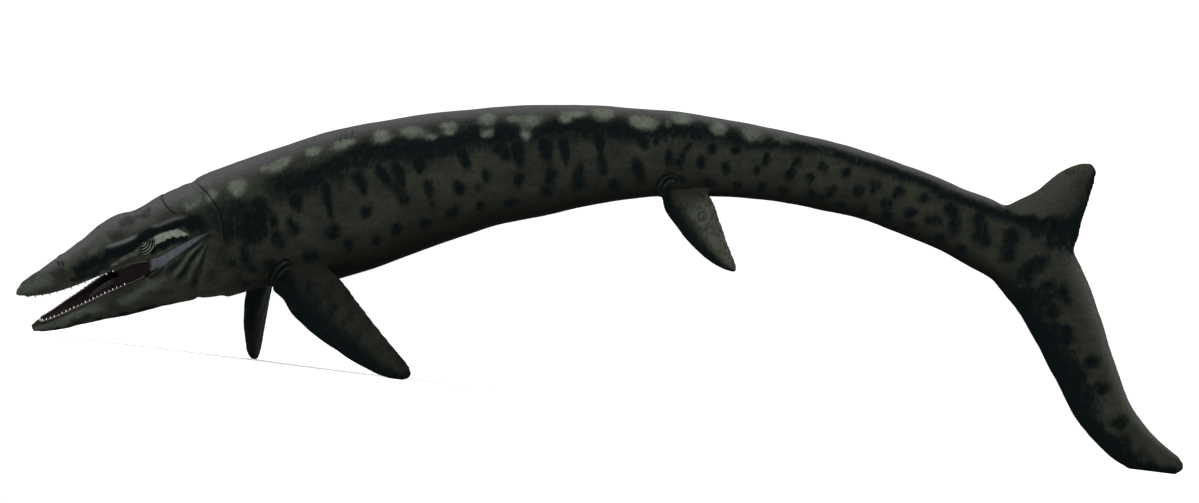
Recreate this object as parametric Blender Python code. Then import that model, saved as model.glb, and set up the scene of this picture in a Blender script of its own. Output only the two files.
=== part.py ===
"""A mosasaur with its mouth open, as a solid display figure that stands on its flippers and tail.

The animal is laid out side on, the way it is drawn: x runs from snout to tail, z is up, and -y is its
left side. Each form is a row of cross-sections. At the end everything is tilted to stand on the floor.
Run with blender --background --python part.py, or from Blender's text editor.
"""

import math

import bmesh
import bpy
import numpy as np
from mathutils import Matrix, Vector

MM = 0.001

# Driving dimensions, in metres
GAP = 0.3 * MM
FLOOR_POINT = Vector((193.5 * MM, 0, -44.0 * MM))
STAND_ANGLE = math.radians(7.05)
EYE_RADIUS = 2.2 * MM
EYE_INSET = 1.1 * MM
EYE_STATION = 9
EYE_RISE = math.radians(24)
FLOOR_BLOCK = (900 * MM, 400 * MM, 60 * MM)
GUM_WIDTH = 1.5 * MM
GUM_HEIGHT = 0.9 * MM
GUM_FROM_LIP = 1.7 * MM
UPPER_TOOTH_LENGTH = 1.9 * MM
LOWER_TOOTH_LENGTH = 1.7 * MM
UPPER_TEETH_A_SIDE = 14
LOWER_TEETH_A_SIDE = 19

# Resolution
BODY_SIDES = 24
JAW_SIDES = 20
PADDLE_SIDES = 14
RINGS_A_STATION = 2
ARCH_STEPS = 16
ARCH_TIP_STEPS = 8
CREASE_ANGLE = math.radians(45)

# Cross-sections: x and z of the centre, height above it, depth below it, half width, all in millimetres,
# and how far the section is rolled towards the animal's left, in degrees. A depth below zero is a hollow:
# the palate, and the floor of the mouth.
BODY = [
    (1.0, -1.4, 2.0, 0.3, 1.6, 22),
    (3.0, -1.4, 4.4, 0.1, 3.0, 22),
    (7.0, -0.6, 7.0, -0.5, 4.6, 22),
    (14.1, 1.0, 9.9, -1.0, 7.0, 22),
    (22.2, 3.8, 12.5, -1.5, 9.2, 22),
    (31.0, 7.8, 14.1, -1.8, 11.5, 22),
    (39.7, 12.2, 15.8, -2.0, 13.5, 22),
    (48.2, 16.3, 18.5, -2.0, 15.2, 22),
    (56.0, 19.7, 19.8, -1.5, 17.0, 22),
    (64.0, 22.0, 19.2, 0.0, 18.5, 22),
    (71.5, 23.8, 21.9, 7.0, 19.8, 22),
    (78.5, 25.0, 24.5, 18.5, 20.8, 21),
    (86.5, 26.0, 27.4, 28.0, 21.8, 20),
    (94.5, 27.0, 29.8, 31.5, 22.5, 18),
    (111.8, 32.0, 31.6, 32.0, 25.0, 13),
    (131.5, 36.5, 33.8, 33.8, 28.0, 7),
    (151.0, 40.8, 36.0, 36.0, 30.5, 2),
    (170.0, 46.2, 35.8, 35.8, 30.8, 0),
    (191.2, 52.2, 34.0, 34.0, 29.5, 0),
    (213.2, 57.5, 32.0, 32.0, 27.5, 0),
    (236.0, 62.2, 29.5, 29.5, 25.5, 0),
    (259.8, 65.2, 28.0, 28.0, 23.5, 0),
    (283.5, 67.8, 25.4, 25.4, 21.5, 0),
    (307.5, 68.8, 22.8, 22.8, 19.2, 0),
    (331.0, 68.5, 21.0, 21.0, 17.5, 0),
    (354.5, 66.2, 19.4, 19.4, 15.8, 0),
    (378.0, 63.0, 17.9, 17.9, 14.2, 0),
    (402.0, 58.2, 17.4, 17.4, 13.0, 0),
    (425.8, 52.0, 16.5, 16.5, 12.0, 0),
    (447.2, 44.2, 16.7, 16.7, 11.0, 0),
    (466.5, 36.2, 16.5, 16.5, 10.0, 0),
    (483.0, 28.5, 17.7, 17.7, 9.2, 0),
    (497.8, 19.5, 18.0, 17.4, 8.2, 0),
    (508.0, 8.8, 23.2, 17.8, 7.5, 0),
    (517.2, -3.2, 20.0, 18.0, 6.8, 0),
    (524.6, -17.8, 18.0, 17.2, 6.0, 0),
    (530.6, -32.8, 16.6, 15.7, 5.5, 0),
    (536.0, -45.2, 15.5, 14.6, 5.0, 0),
    (541.6, -58.0, 14.6, 13.6, 4.8, 0),
    (547.8, -67.3, 13.3, 12.2, 4.5, 0),
    (555.4, -75.4, 12.2, 11.4, 4.2, 0),
    (564.4, -81.8, 10.2, 10.0, 3.8, 0),
    (573.4, -85.8, 7.3, 7.3, 3.0, 0),
    (579.5, -87.4, 4.8, 4.8, 2.2, 0),
    (583.0, -88.2, 1.8, 1.8, 1.0, 0),
]
LOWER_JAW = [
    (8.6, -17.2, 0.2, 1.8, 2.2, 22),
    (11.6, -15.2, -0.3, 5.0, 4.2, 22),
    (17.6, -12.0, -1.2, 8.4, 6.5, 22),
    (26.3, -6.8, -2.0, 12.0, 9.0, 22),
    (35.0, -1.6, -3.0, 15.6, 11.2, 22),
    (43.7, 3.7, -4.0, 19.5, 13.5, 22),
    (52.4, 8.4, -4.5, 22.0, 15.5, 22),
    (61.2, 13.0, -4.5, 24.4, 17.0, 22),
    (70.0, 18.7, -3.0, 28.2, 18.4, 21),
    (80.0, 24.5, 0.0, 29.0, 18.6, 20),
]

# Paddles: distance from the root, leading edge, trailing edge, half thickness, in millimetres
FRONT_FLIPPER = [
    (-12, -8.0, 8.0, 4.2),
    (-4, -13.0, 9.6, 4.6),
    (8, -18.2, 10.8, 4.3),
    (22, -18.5, 11.0, 3.8),
    (38, -16.4, 9.6, 3.3),
    (54, -13.2, 8.4, 2.8),
    (68, -9.6, 7.6, 2.3),
    (79, -5.2, 7.2, 1.9),
    (85, -1.6, 6.4, 1.5),
    (88, 2.0, 4.8, 0.9),
]
HIND_FLIPPER = [
    (-9, -8.0, 6.5, 3.0),
    (-3, -11.0, 8.8, 3.2),
    (4, -12.7, 10.4, 3.0),
    (14, -12.3, 10.0, 2.7),
    (25, -11.3, 7.8, 2.3),
    (36, -8.9, 5.8, 1.9),
    (45, -5.7, 4.3, 1.5),
    (51, -2.4, 3.2, 1.1),
    (54, 0.2, 2.0, 0.7),
]
UPPER_TAIL_LOBE = [
    (-4, -24.0, 17.0, 5.0),
    (6, -27.0, 15.8, 4.8),
    (14, -22.3, 13.9, 4.0),
    (23, -16.9, 10.9, 3.3),
    (31, -14.2, 8.9, 2.8),
    (38, -11.4, 7.0, 2.3),
    (44, -7.6, 5.1, 1.8),
    (48, -3.6, 3.0, 1.2),
    (49.5, -1.0, 0.8, 0.6),
]

# Where each paddle grows from, the way it points, and the way its trailing edge faces
LEFT_FRONT_ROOT = Vector((143.6, -16.0, 9.7)) * MM
LEFT_FRONT_REACH = Vector((0.584, -0.525, -0.619))
LEFT_FRONT_CHORD = Vector((0.66, -0.136, 0.739))
RIGHT_FRONT_ROOT = Vector((124.8, 18.0, 12.0)) * MM
RIGHT_FRONT_REACH = Vector((-0.09, 0.84, -0.535))
RIGHT_FRONT_CHORD = Vector((0.45, 0.51, 0.73))
HIND_ROOT = Vector((333.5, 8.0, 49.5)) * MM
HIND_REACH = Vector((0.453, 0.494, -0.742))
HIND_CHORD = Vector((0.862, -0.03, 0.507))
UPPER_LOBE_ROOT = Vector((511.5, 0, 21.5)) * MM
UPPER_LOBE_REACH = Vector((0.53, 0, 0.847))
UPPER_LOBE_CHORD = Vector((0.847, 0, -0.53))

# Colours, linear
SKIN = (0.026, 0.027, 0.022)
JAW_SKIN = (0.034, 0.036, 0.030)
FLIPPER_SKIN = (0.017, 0.018, 0.016)
MOUTH = (0.060, 0.035, 0.040)
IVORY = (0.62, 0.60, 0.50)
EYE = (0.008, 0.008, 0.007)


def clear_scene():
    for thing in list(bpy.data.objects):
        bpy.data.objects.remove(thing, do_unlink=True)


def new_collection(name, shown):
    collection = bpy.data.collections.new(name)
    collection.hide_render = not shown
    bpy.context.scene.collection.children.link(collection)
    return collection


def material(name, colour, roughness):
    made = bpy.data.materials.new(name)
    made.use_nodes = True
    shader = made.node_tree.nodes["Principled BSDF"]
    shader.inputs["Base Color"].default_value = (*colour, 1)
    shader.inputs["Roughness"].default_value = roughness
    shader.inputs["Metallic"].default_value = 0
    return made


class Form:
    """A row of cross-sections with a smooth curve through every one of their measures."""

    def __init__(self, stations):
        self.rows = np.array(stations, float)
        self.rows[:, :5] *= MM
        steps = np.linalg.norm(np.diff(self.rows[:, :2], axis=0), axis=1)
        self.marks = np.concatenate([[0], np.cumsum(steps)])
        self.slopes = np.gradient(self.rows, self.marks, axis=0)
        self.length = self.marks[-1]

    def row(self, distance):
        """The measures at a distance along the form, by a cubic between the two stations around it."""
        i = int(np.clip(np.searchsorted(self.marks, distance) - 1, 0, len(self.marks) - 2))
        span = self.marks[i + 1] - self.marks[i]
        t = (distance - self.marks[i]) / span
        start, end = self.rows[i], self.rows[i + 1]
        bend = t**3 - t**2
        return (
            start
            + (end - start) * (3 * t**2 - 2 * t**3)
            + span * (bend - t**2 + t) * self.slopes[i]
            + span * bend * self.slopes[i + 1]
        )

    def frame(self, distance):
        """Centre, up and left-to-right directions of the section at a distance."""
        row = self.row(distance)
        near = min(max(distance, 0.5 * MM), self.length - 0.5 * MM)
        ahead = self.row(near + 0.5 * MM)[:2] - self.row(near - 0.5 * MM)[:2]
        along = Vector((ahead[0], 0, ahead[1])).normalized()
        roll = Matrix.Rotation(math.radians(row[5]), 3, along)
        up = roll @ Vector((-along.z, 0, along.x))
        side = roll @ Vector((0, 1, 0))
        return Vector((row[0], 0, row[1])), up, side

    def point(self, distance, angle, grow=0.0):
        """A point of the surface. Angle 0 is the animal's right side, 90 degrees the top."""
        row = self.row(distance)
        centre, up, side = self.frame(distance)
        height = (row[2] if math.sin(angle) >= 0 else row[3]) + grow
        width = row[4] + grow
        return centre + side * (width * math.cos(angle)) + up * (height * math.sin(angle))

    def hollow(self, distance, across, measure):
        """Height of the palate or mouth floor, a distance across from the middle of the section."""
        row = self.row(distance)
        share = min(abs(across) / row[4], 1.0)
        depth = row[2] if measure == "above" else -row[3]
        return depth * math.sqrt(1 - share * share)

    def distances(self):
        count = (len(self.marks) - 1) * RINGS_A_STATION
        places = np.linspace(0, len(self.marks) - 1, count + 1)
        return np.interp(places, range(len(self.marks)), self.marks)


def loft(name, rings, collection, surface=None):
    """A closed solid through rings of points that all have the same number of points."""
    shape = bmesh.new()
    loops = [[shape.verts.new(point) for point in ring] for ring in rings]
    sides = len(loops[0])
    for one, other in zip(loops, loops[1:]):
        for i in range(sides):
            j = (i + 1) % sides
            shape.faces.new((one[i], other[i], other[j]))
            shape.faces.new((one[i], other[j], one[j]))
    shape.faces.new(loops[0])
    shape.faces.new(reversed(loops[-1]))
    bmesh.ops.recalc_face_normals(shape, faces=shape.faces)
    return mesh_object(name, shape, collection, surface)


def mesh_object(name, shape, collection, surface=None):
    mesh = bpy.data.meshes.new(name)
    shape.to_mesh(mesh)
    shape.free()
    mesh.shade_smooth()
    if surface:
        mesh.materials.append(surface)
    made = bpy.data.objects.new(name, mesh)
    collection.objects.link(made)
    if collection.hide_render:
        made.hide_render = True
        made.display_type = "WIRE"
    return made


def form_loft(name, form, sides, collection, surface=None, grow=0.0):
    angles = [math.tau * i / sides for i in range(sides)]
    rings = [[form.point(d, angle, grow) for angle in angles] for d in form.distances()]
    return loft(name, rings, collection, surface)


def paddle(name, stations, root, reach, chord, collection, surface=None):
    """A flipper or tail lobe: thick behind its leading edge, thin at its trailing edge."""
    reach = reach.normalized()
    chord = (chord - reach * chord.dot(reach)).normalized()
    thick = reach.cross(chord)
    form = Form([(row[0], 0, row[1], row[2], row[3], 0) for row in stations])
    half = PADDLE_SIDES // 2
    rings = []
    for distance in form.distances():
        row = form.row(distance)
        ring = []
        for i in range(PADDLE_SIDES):
            turn = math.pi * (i + 0.5) / half
            share = (1 - math.cos(turn)) / 2
            thickness = row[4] * math.copysign(foil(share), math.sin(turn))
            place = row[2] + (row[3] - row[2]) * share
            ring.append(root + reach * row[0] + chord * place + thick * thickness)
        rings.append(ring)
    return loft(name, rings, collection, surface)


def foil(share):
    """Half thickness of a paddle across its width, 1 where it is thickest."""
    return 4 * (math.sqrt(share) - share) * 0.9 + 0.1


def boolean(target, tool, operation):
    """Adds a Boolean modifier and applies it, so that the solid can be worked on further."""
    modifier = target.modifiers.new(tool.name, "BOOLEAN")
    modifier.operation = operation
    modifier.object = tool
    modifier.solver = "EXACT"
    bpy.context.view_layer.update()
    graph = bpy.context.evaluated_depsgraph_get()
    result = bpy.data.meshes.new_from_object(target.evaluated_get(graph))
    result.shade_smooth()
    result.set_sharp_from_angle(angle=CREASE_ANGLE)
    target.modifiers.clear()
    target.data = result


def ball(name, centre, radius, collection, surface=None):
    shape = bmesh.new()
    bmesh.ops.create_uvsphere(shape, u_segments=16, v_segments=10, radius=radius)
    bmesh.ops.translate(shape, verts=shape.verts, vec=centre)
    return mesh_object(name, shape, collection, surface)


def block(name, size, collection):
    """A box whose top lies on the floor plane."""
    shape = bmesh.new()
    bmesh.ops.create_cube(shape, size=1)
    bmesh.ops.scale(shape, verts=shape.verts, vec=size)
    bmesh.ops.translate(shape, verts=shape.verts, vec=(0, 0, -size[2] / 2))
    return mesh_object(name, shape, collection)


def eye_centre(head, side):
    """Centre of the eyeball, a little inside the cheek. side is -1 for the animal's left."""
    distance = head.marks[EYE_STATION]
    angle = math.pi - EYE_RISE if side < 0 else EYE_RISE
    surface = head.point(distance, angle)
    middle = head.frame(distance)[0]
    return surface + (middle - surface).normalized() * EYE_INSET


def arch(form, measure, start, front, end):
    """A gum line as (point, up) pairs, from the right corner of the mouth round the tip to the left one."""
    sides = [start + (end - start) * i / ARCH_STEPS for i in range(1, ARCH_STEPS + 1)]
    turns = [math.pi * i / ARCH_TIP_STEPS for i in range(ARCH_TIP_STEPS + 1)]
    reach = form.row(start)[4] - GUM_FROM_LIP
    line = [(d, form.row(d)[4] - GUM_FROM_LIP) for d in reversed(sides)]
    line += [(start - front * math.sin(turn), reach * math.cos(turn)) for turn in turns]
    line += [(d, GUM_FROM_LIP - form.row(d)[4]) for d in sides]
    hang = -1 if measure == "below" else 1
    points = []
    for distance, across in line:
        centre, up, side = form.frame(distance)
        edges = (abs(across) - GUM_WIDTH / 2, abs(across) + GUM_WIDTH / 2)
        surface = max(form.hollow(distance, edge, measure) * hang for edge in edges)
        rise = (surface + GAP + GUM_HEIGHT / 2) * hang
        points.append((centre + side * across + up * rise, up * hang))
    return points


def evenly(points, count):
    """A number of (point, up) pairs evenly spaced along a line of them, clear of its ends."""
    places = np.array([point for point, up in points])
    ups = np.array([up for point, up in points])
    steps = np.linalg.norm(np.diff(places, axis=0), axis=1)
    marks = np.concatenate([[0], np.cumsum(steps)])
    wanted = marks[-1] * (np.arange(count) + 0.5) / count
    columns = [np.interp(wanted, marks, values) for values in (*places.T, *ups.T)]
    return [(Vector(row[:3]), Vector(row[3:])) for row in np.array(columns).T]


def tooth_row(name, line, teeth, tooth_length, collection, surface):
    """A gum ridge along a line, with teeth grown from it."""
    middles = [point for point, up in line]
    rings = []
    for i, (point, up) in enumerate(line):
        ahead = middles[min(i + 1, len(middles) - 1)] - middles[max(i - 1, 0)]
        out = ahead.cross(up).normalized() * GUM_WIDTH / 2
        rise = up * GUM_HEIGHT / 2
        rings.append([point - out - rise, point + out - rise, point + out * 0.7 + rise, point - out * 0.7 + rise])
    gum = loft(name, rings, collection, surface)
    cones = bmesh.new()
    for point, up in evenly(line, teeth):
        add_tooth(cones, point, up, tooth_length)
    tool = mesh_object(name + "_cones", cones, bpy.data.collections["cutters"])
    boolean(gum, tool, "UNION")
    return gum


def add_tooth(shape, foot, up, length):
    turn = up.to_track_quat("Z", "Y").to_matrix().to_4x4()
    place = Matrix.Translation(foot + up * (length / 2)) @ turn
    bmesh.ops.create_cone(
        shape,
        cap_ends=True,
        segments=6,
        radius1=0.22 * length + 0.15 * MM,
        radius2=0.06 * length,
        depth=length,
        matrix=place,
    )


def make_tongue(jaw, collection, surface):
    """A flat tongue that lies in the hollow of the lower jaw."""
    start, end = jaw.marks[4], jaw.marks[7]
    rings = []
    steps = 14
    for i in range(steps + 1):
        share = i / steps
        distance = start + (end - start) * share
        row = jaw.row(distance)
        centre, up, side = jaw.frame(distance)
        taper = math.sqrt(1 - (1 - min(share * 2.2 + 0.04, 1)) ** 2)
        width = 0.5 * row[4] * taper
        height = 1.9 * MM * taper
        middle = centre + up * (row[2] + height + 1.5 * GAP)
        turns = [math.tau * k / 12 for k in range(12)]
        rings.append([middle + side * (width * math.cos(a)) + up * (height * math.sin(a)) for a in turns])
    return loft("tongue", rings, collection, surface)


def stand(things):
    """Tilts everything so that the floor is level, with the middle of its box over the origin."""
    level = Matrix.Rotation(-STAND_ANGLE, 4, "Y") @ Matrix.Translation(-FLOOR_POINT)
    for thing in things:
        thing.data.transform(level)


def centre_over_origin(things):
    corners = np.array([vertex.co for thing in things for vertex in thing.data.vertices])
    middle = (corners.min(axis=0) + corners.max(axis=0)) / 2
    shift = Matrix.Translation((-middle[0], -middle[1], 0))
    for thing in things:
        thing.data.transform(shift)


def mirrored(vector):
    return Vector((vector.x, -vector.y, vector.z))


def main():
    clear_scene()
    parts = new_collection("mosasaur", True)
    cutters = new_collection("cutters", False)
    skin = material("skin", SKIN, 0.5)
    jaw_skin = material("jaw_skin", JAW_SKIN, 0.5)
    flipper_skin = material("flipper_skin", FLIPPER_SKIN, 0.45)
    mouth = material("mouth", MOUTH, 0.35)
    ivory = material("ivory", IVORY, 0.3)
    eye = material("eye", EYE, 0.1)

    head_to_tail = Form(BODY)
    jaw_form = Form(LOWER_JAW)
    body = form_loft("body", head_to_tail, BODY_SIDES, parts, skin)
    clearance = form_loft("body_clearance", head_to_tail, BODY_SIDES, cutters, None, GAP)
    lobe = paddle("upper_lobe", UPPER_TAIL_LOBE, UPPER_LOBE_ROOT, UPPER_LOBE_REACH, UPPER_LOBE_CHORD, cutters)
    boolean(body, lobe, "UNION")

    jaw = form_loft("lower_jaw", jaw_form, JAW_SIDES, parts, jaw_skin)
    boolean(jaw, clearance, "DIFFERENCE")
    tongue = make_tongue(jaw_form, parts, mouth)

    upper_line = arch(head_to_tail, "below", 5.5 * MM, 2.2 * MM, head_to_tail.marks[9])
    lower_line = arch(jaw_form, "above", 6.0 * MM, 1.9 * MM, jaw_form.marks[7])
    upper = tooth_row("upper_teeth", upper_line, 2 * UPPER_TEETH_A_SIDE, UPPER_TOOTH_LENGTH, parts, ivory)
    lower = tooth_row("lower_teeth", lower_line, 2 * LOWER_TEETH_A_SIDE, LOWER_TOOTH_LENGTH, parts, ivory)

    eyes = []
    for name, side in (("eye_left", -1), ("eye_right", 1)):
        centre = eye_centre(head_to_tail, side)
        socket = ball(name + "_socket", centre, EYE_RADIUS + GAP, cutters)
        boolean(body, socket, "DIFFERENCE")
        eyes.append(ball(name, centre, EYE_RADIUS, parts, eye))

    flippers = [
        paddle("front_flipper_left", FRONT_FLIPPER, LEFT_FRONT_ROOT, LEFT_FRONT_REACH,
               LEFT_FRONT_CHORD, parts, flipper_skin),
        paddle("front_flipper_right", FRONT_FLIPPER, RIGHT_FRONT_ROOT, RIGHT_FRONT_REACH,
               RIGHT_FRONT_CHORD, parts, flipper_skin),
        paddle("hind_flipper_left", HIND_FLIPPER, mirrored(HIND_ROOT), mirrored(HIND_REACH),
               mirrored(HIND_CHORD), parts, flipper_skin),
        paddle("hind_flipper_right", HIND_FLIPPER, HIND_ROOT, HIND_REACH, HIND_CHORD, parts, flipper_skin),
    ]
    for flipper in flippers:
        boolean(flipper, clearance, "DIFFERENCE")

    shown = [body, jaw, tongue, upper, lower, *eyes, *flippers]
    stand(shown)
    floor = block("floor", FLOOR_BLOCK, cutters)
    for thing in (body, flippers[0], flippers[1]):
        boolean(thing, floor, "DIFFERENCE")
    centre_over_origin(shown)


main()
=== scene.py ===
"""The looks of the mosasaur figure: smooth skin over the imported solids, painted and lit.

Places on the animal are given as they are drawn in the photograph, in its pixels, or as a distance along
one of the forms. The figure's left side faces the camera, and its right side mirrors it.
"""

import math

import bmesh
import bpy
import numpy as np
from mathutils import Matrix, Vector
from mathutils.kdtree import KDTree


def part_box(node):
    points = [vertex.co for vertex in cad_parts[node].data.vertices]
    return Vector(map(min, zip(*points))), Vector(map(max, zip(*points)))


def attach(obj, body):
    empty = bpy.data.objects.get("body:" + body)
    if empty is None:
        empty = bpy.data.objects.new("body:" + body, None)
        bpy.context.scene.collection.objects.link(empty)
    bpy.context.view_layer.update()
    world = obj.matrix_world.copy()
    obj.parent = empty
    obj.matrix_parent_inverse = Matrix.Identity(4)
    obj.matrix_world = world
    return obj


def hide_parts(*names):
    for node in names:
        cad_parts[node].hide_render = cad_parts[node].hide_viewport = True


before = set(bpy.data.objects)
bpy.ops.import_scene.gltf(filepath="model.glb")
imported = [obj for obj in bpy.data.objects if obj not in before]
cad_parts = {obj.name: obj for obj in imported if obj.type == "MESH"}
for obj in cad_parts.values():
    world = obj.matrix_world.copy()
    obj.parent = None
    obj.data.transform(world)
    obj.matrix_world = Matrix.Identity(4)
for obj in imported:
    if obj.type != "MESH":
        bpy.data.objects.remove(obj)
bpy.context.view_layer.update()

MM = 0.001

# The photograph: its size, and where the drawing's origin lies in it
PHOTO_WIDE = 1199
PHOTO_TALL = 503
PIXEL = 0.5 * MM
ORIGIN_PIXEL = (17, 291)

# How the figure is tilted to stand, as in the solids
STAND_ANGLE = math.radians(7.05)
EYE_RADIUS = 2.2 * MM
EYE_INSET = 1.1 * MM
EYE_STATION = 9
EYE_RISE = math.radians(24)

# Cross-sections of the solids: x, z, height above, depth below, half width in millimetres, roll in degrees
BODY = [
    (1.0, -1.4, 2.0, 0.3, 1.6, 22),
    (3.0, -1.4, 4.4, 0.1, 3.0, 22),
    (7.0, -0.6, 7.0, -0.5, 4.6, 22),
    (14.1, 1.0, 9.9, -1.0, 7.0, 22),
    (22.2, 3.8, 12.5, -1.5, 9.2, 22),
    (31.0, 7.8, 14.1, -1.8, 11.5, 22),
    (39.7, 12.2, 15.8, -2.0, 13.5, 22),
    (48.2, 16.3, 18.5, -2.0, 15.2, 22),
    (56.0, 19.7, 19.8, -1.5, 17.0, 22),
    (64.0, 22.0, 19.2, 0.0, 18.5, 22),
    (71.5, 23.8, 21.9, 7.0, 19.8, 22),
    (78.5, 25.0, 24.5, 18.5, 20.8, 21),
    (86.5, 26.0, 27.4, 28.0, 21.8, 20),
    (94.5, 27.0, 29.8, 31.5, 22.5, 18),
    (111.8, 32.0, 31.6, 32.0, 25.0, 13),
    (131.5, 36.5, 33.8, 33.8, 28.0, 7),
    (151.0, 40.8, 36.0, 36.0, 30.5, 2),
    (170.0, 46.2, 35.8, 35.8, 30.8, 0),
    (191.2, 52.2, 34.0, 34.0, 29.5, 0),
    (213.2, 57.5, 32.0, 32.0, 27.5, 0),
    (236.0, 62.2, 29.5, 29.5, 25.5, 0),
    (259.8, 65.2, 28.0, 28.0, 23.5, 0),
    (283.5, 67.8, 25.4, 25.4, 21.5, 0),
    (307.5, 68.8, 22.8, 22.8, 19.2, 0),
    (331.0, 68.5, 21.0, 21.0, 17.5, 0),
    (354.5, 66.2, 19.4, 19.4, 15.8, 0),
    (378.0, 63.0, 17.9, 17.9, 14.2, 0),
    (402.0, 58.2, 17.4, 17.4, 13.0, 0),
    (425.8, 52.0, 16.5, 16.5, 12.0, 0),
    (447.2, 44.2, 16.7, 16.7, 11.0, 0),
    (466.5, 36.2, 16.5, 16.5, 10.0, 0),
    (483.0, 28.5, 17.7, 17.7, 9.2, 0),
    (497.8, 19.5, 18.0, 17.4, 8.2, 0),
    (508.0, 8.8, 23.2, 17.8, 7.5, 0),
    (517.2, -3.2, 20.0, 18.0, 6.8, 0),
    (524.6, -17.8, 18.0, 17.2, 6.0, 0),
    (530.6, -32.8, 16.6, 15.7, 5.5, 0),
    (536.0, -45.2, 15.5, 14.6, 5.0, 0),
    (541.6, -58.0, 14.6, 13.6, 4.8, 0),
    (547.8, -67.3, 13.3, 12.2, 4.5, 0),
    (555.4, -75.4, 12.2, 11.4, 4.2, 0),
    (564.4, -81.8, 10.2, 10.0, 3.8, 0),
    (573.4, -85.8, 7.3, 7.3, 3.0, 0),
    (579.5, -87.4, 4.8, 4.8, 2.2, 0),
    (583.0, -88.2, 1.8, 1.8, 1.0, 0),
]
LOWER_JAW = [
    (8.6, -17.2, 0.2, 1.8, 2.2, 22),
    (11.6, -15.2, -0.3, 5.0, 4.2, 22),
    (17.6, -12.0, -1.2, 8.4, 6.5, 22),
    (26.3, -6.8, -2.0, 12.0, 9.0, 22),
    (35.0, -1.6, -3.0, 15.6, 11.2, 22),
    (43.7, 3.7, -4.0, 19.5, 13.5, 22),
    (52.4, 8.4, -4.5, 22.0, 15.5, 22),
    (61.2, 13.0, -4.5, 24.4, 17.0, 22),
    (70.0, 18.7, -3.0, 28.2, 18.4, 21),
    (80.0, 24.5, 0.0, 29.0, 18.6, 20),
]

# Paddles of the solids: distance from the root, leading edge, trailing edge, half thickness, in millimetres
FRONT_FLIPPER = [
    (-12, -8.0, 8.0, 4.2),
    (-4, -13.0, 9.6, 4.6),
    (8, -18.2, 10.8, 4.3),
    (22, -18.5, 11.0, 3.8),
    (38, -16.4, 9.6, 3.3),
    (54, -13.2, 8.4, 2.8),
    (68, -9.6, 7.6, 2.3),
    (79, -5.2, 7.2, 1.9),
    (85, -1.6, 6.4, 1.5),
    (88, 2.0, 4.8, 0.9),
]
HIND_FLIPPER = [
    (-9, -8.0, 6.5, 3.0),
    (-3, -11.0, 8.8, 3.2),
    (4, -12.7, 10.4, 3.0),
    (14, -12.3, 10.0, 2.7),
    (25, -11.3, 7.8, 2.3),
    (36, -8.9, 5.8, 1.9),
    (45, -5.7, 4.3, 1.5),
    (51, -2.4, 3.2, 1.1),
    (54, 0.2, 2.0, 0.7),
]
UPPER_TAIL_LOBE = [
    (-4, -24.0, 17.0, 5.0),
    (6, -27.0, 15.8, 4.8),
    (14, -22.3, 13.9, 4.0),
    (23, -16.9, 10.9, 3.3),
    (31, -14.2, 8.9, 2.8),
    (38, -11.4, 7.0, 2.3),
    (44, -7.6, 5.1, 1.8),
    (48, -3.6, 3.0, 1.2),
    (49.5, -1.0, 0.8, 0.6),
]

# Each paddle's shape, where it grows from in millimetres, the way it points, and the way its trailing edge
# faces
PADDLES = {
    "front_flipper_left": (
        FRONT_FLIPPER, (143.6, -16.0, 9.7), (0.584, -0.525, -0.619), (0.66, -0.136, 0.739)
    ),
    "front_flipper_right": (
        FRONT_FLIPPER, (124.8, 18.0, 12.0), (-0.09, 0.84, -0.535), (0.45, 0.51, 0.73)
    ),
    "hind_flipper_left": (
        HIND_FLIPPER, (333.5, -8.0, 49.5), (0.453, -0.494, -0.742), (0.862, 0.03, 0.507)
    ),
    "hind_flipper_right": (
        HIND_FLIPPER, (333.5, 8.0, 49.5), (0.453, 0.494, -0.742), (0.862, -0.03, 0.507)
    ),
    "upper_lobe": (
        UPPER_TAIL_LOBE, (511.5, 0.0, 21.5), (0.53, 0.0, 0.847), (0.847, 0.0, -0.53)
    ),
}


# Numbers over many points at once

SLOPE_STEP = 0.5 * MM
LEAST_WIDTH = 0.5 * MM
NEAREST_STEPS = 600
POINTS_AT_ONCE = 20000


def unit(vectors):
    return vectors / np.maximum(np.linalg.norm(vectors, axis=-1, keepdims=True), 1e-12)


def ramp(values, start, end):
    """0 before start, 1 after end, and smooth between."""
    t = np.clip((values - start) / (end - start), 0, 1)
    return t * t * (3 - 2 * t)


def bump(values, width):
    """1 at zero, falling smoothly to nothing about twice the width away."""
    return np.exp(-((values / width) ** 2))


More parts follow.
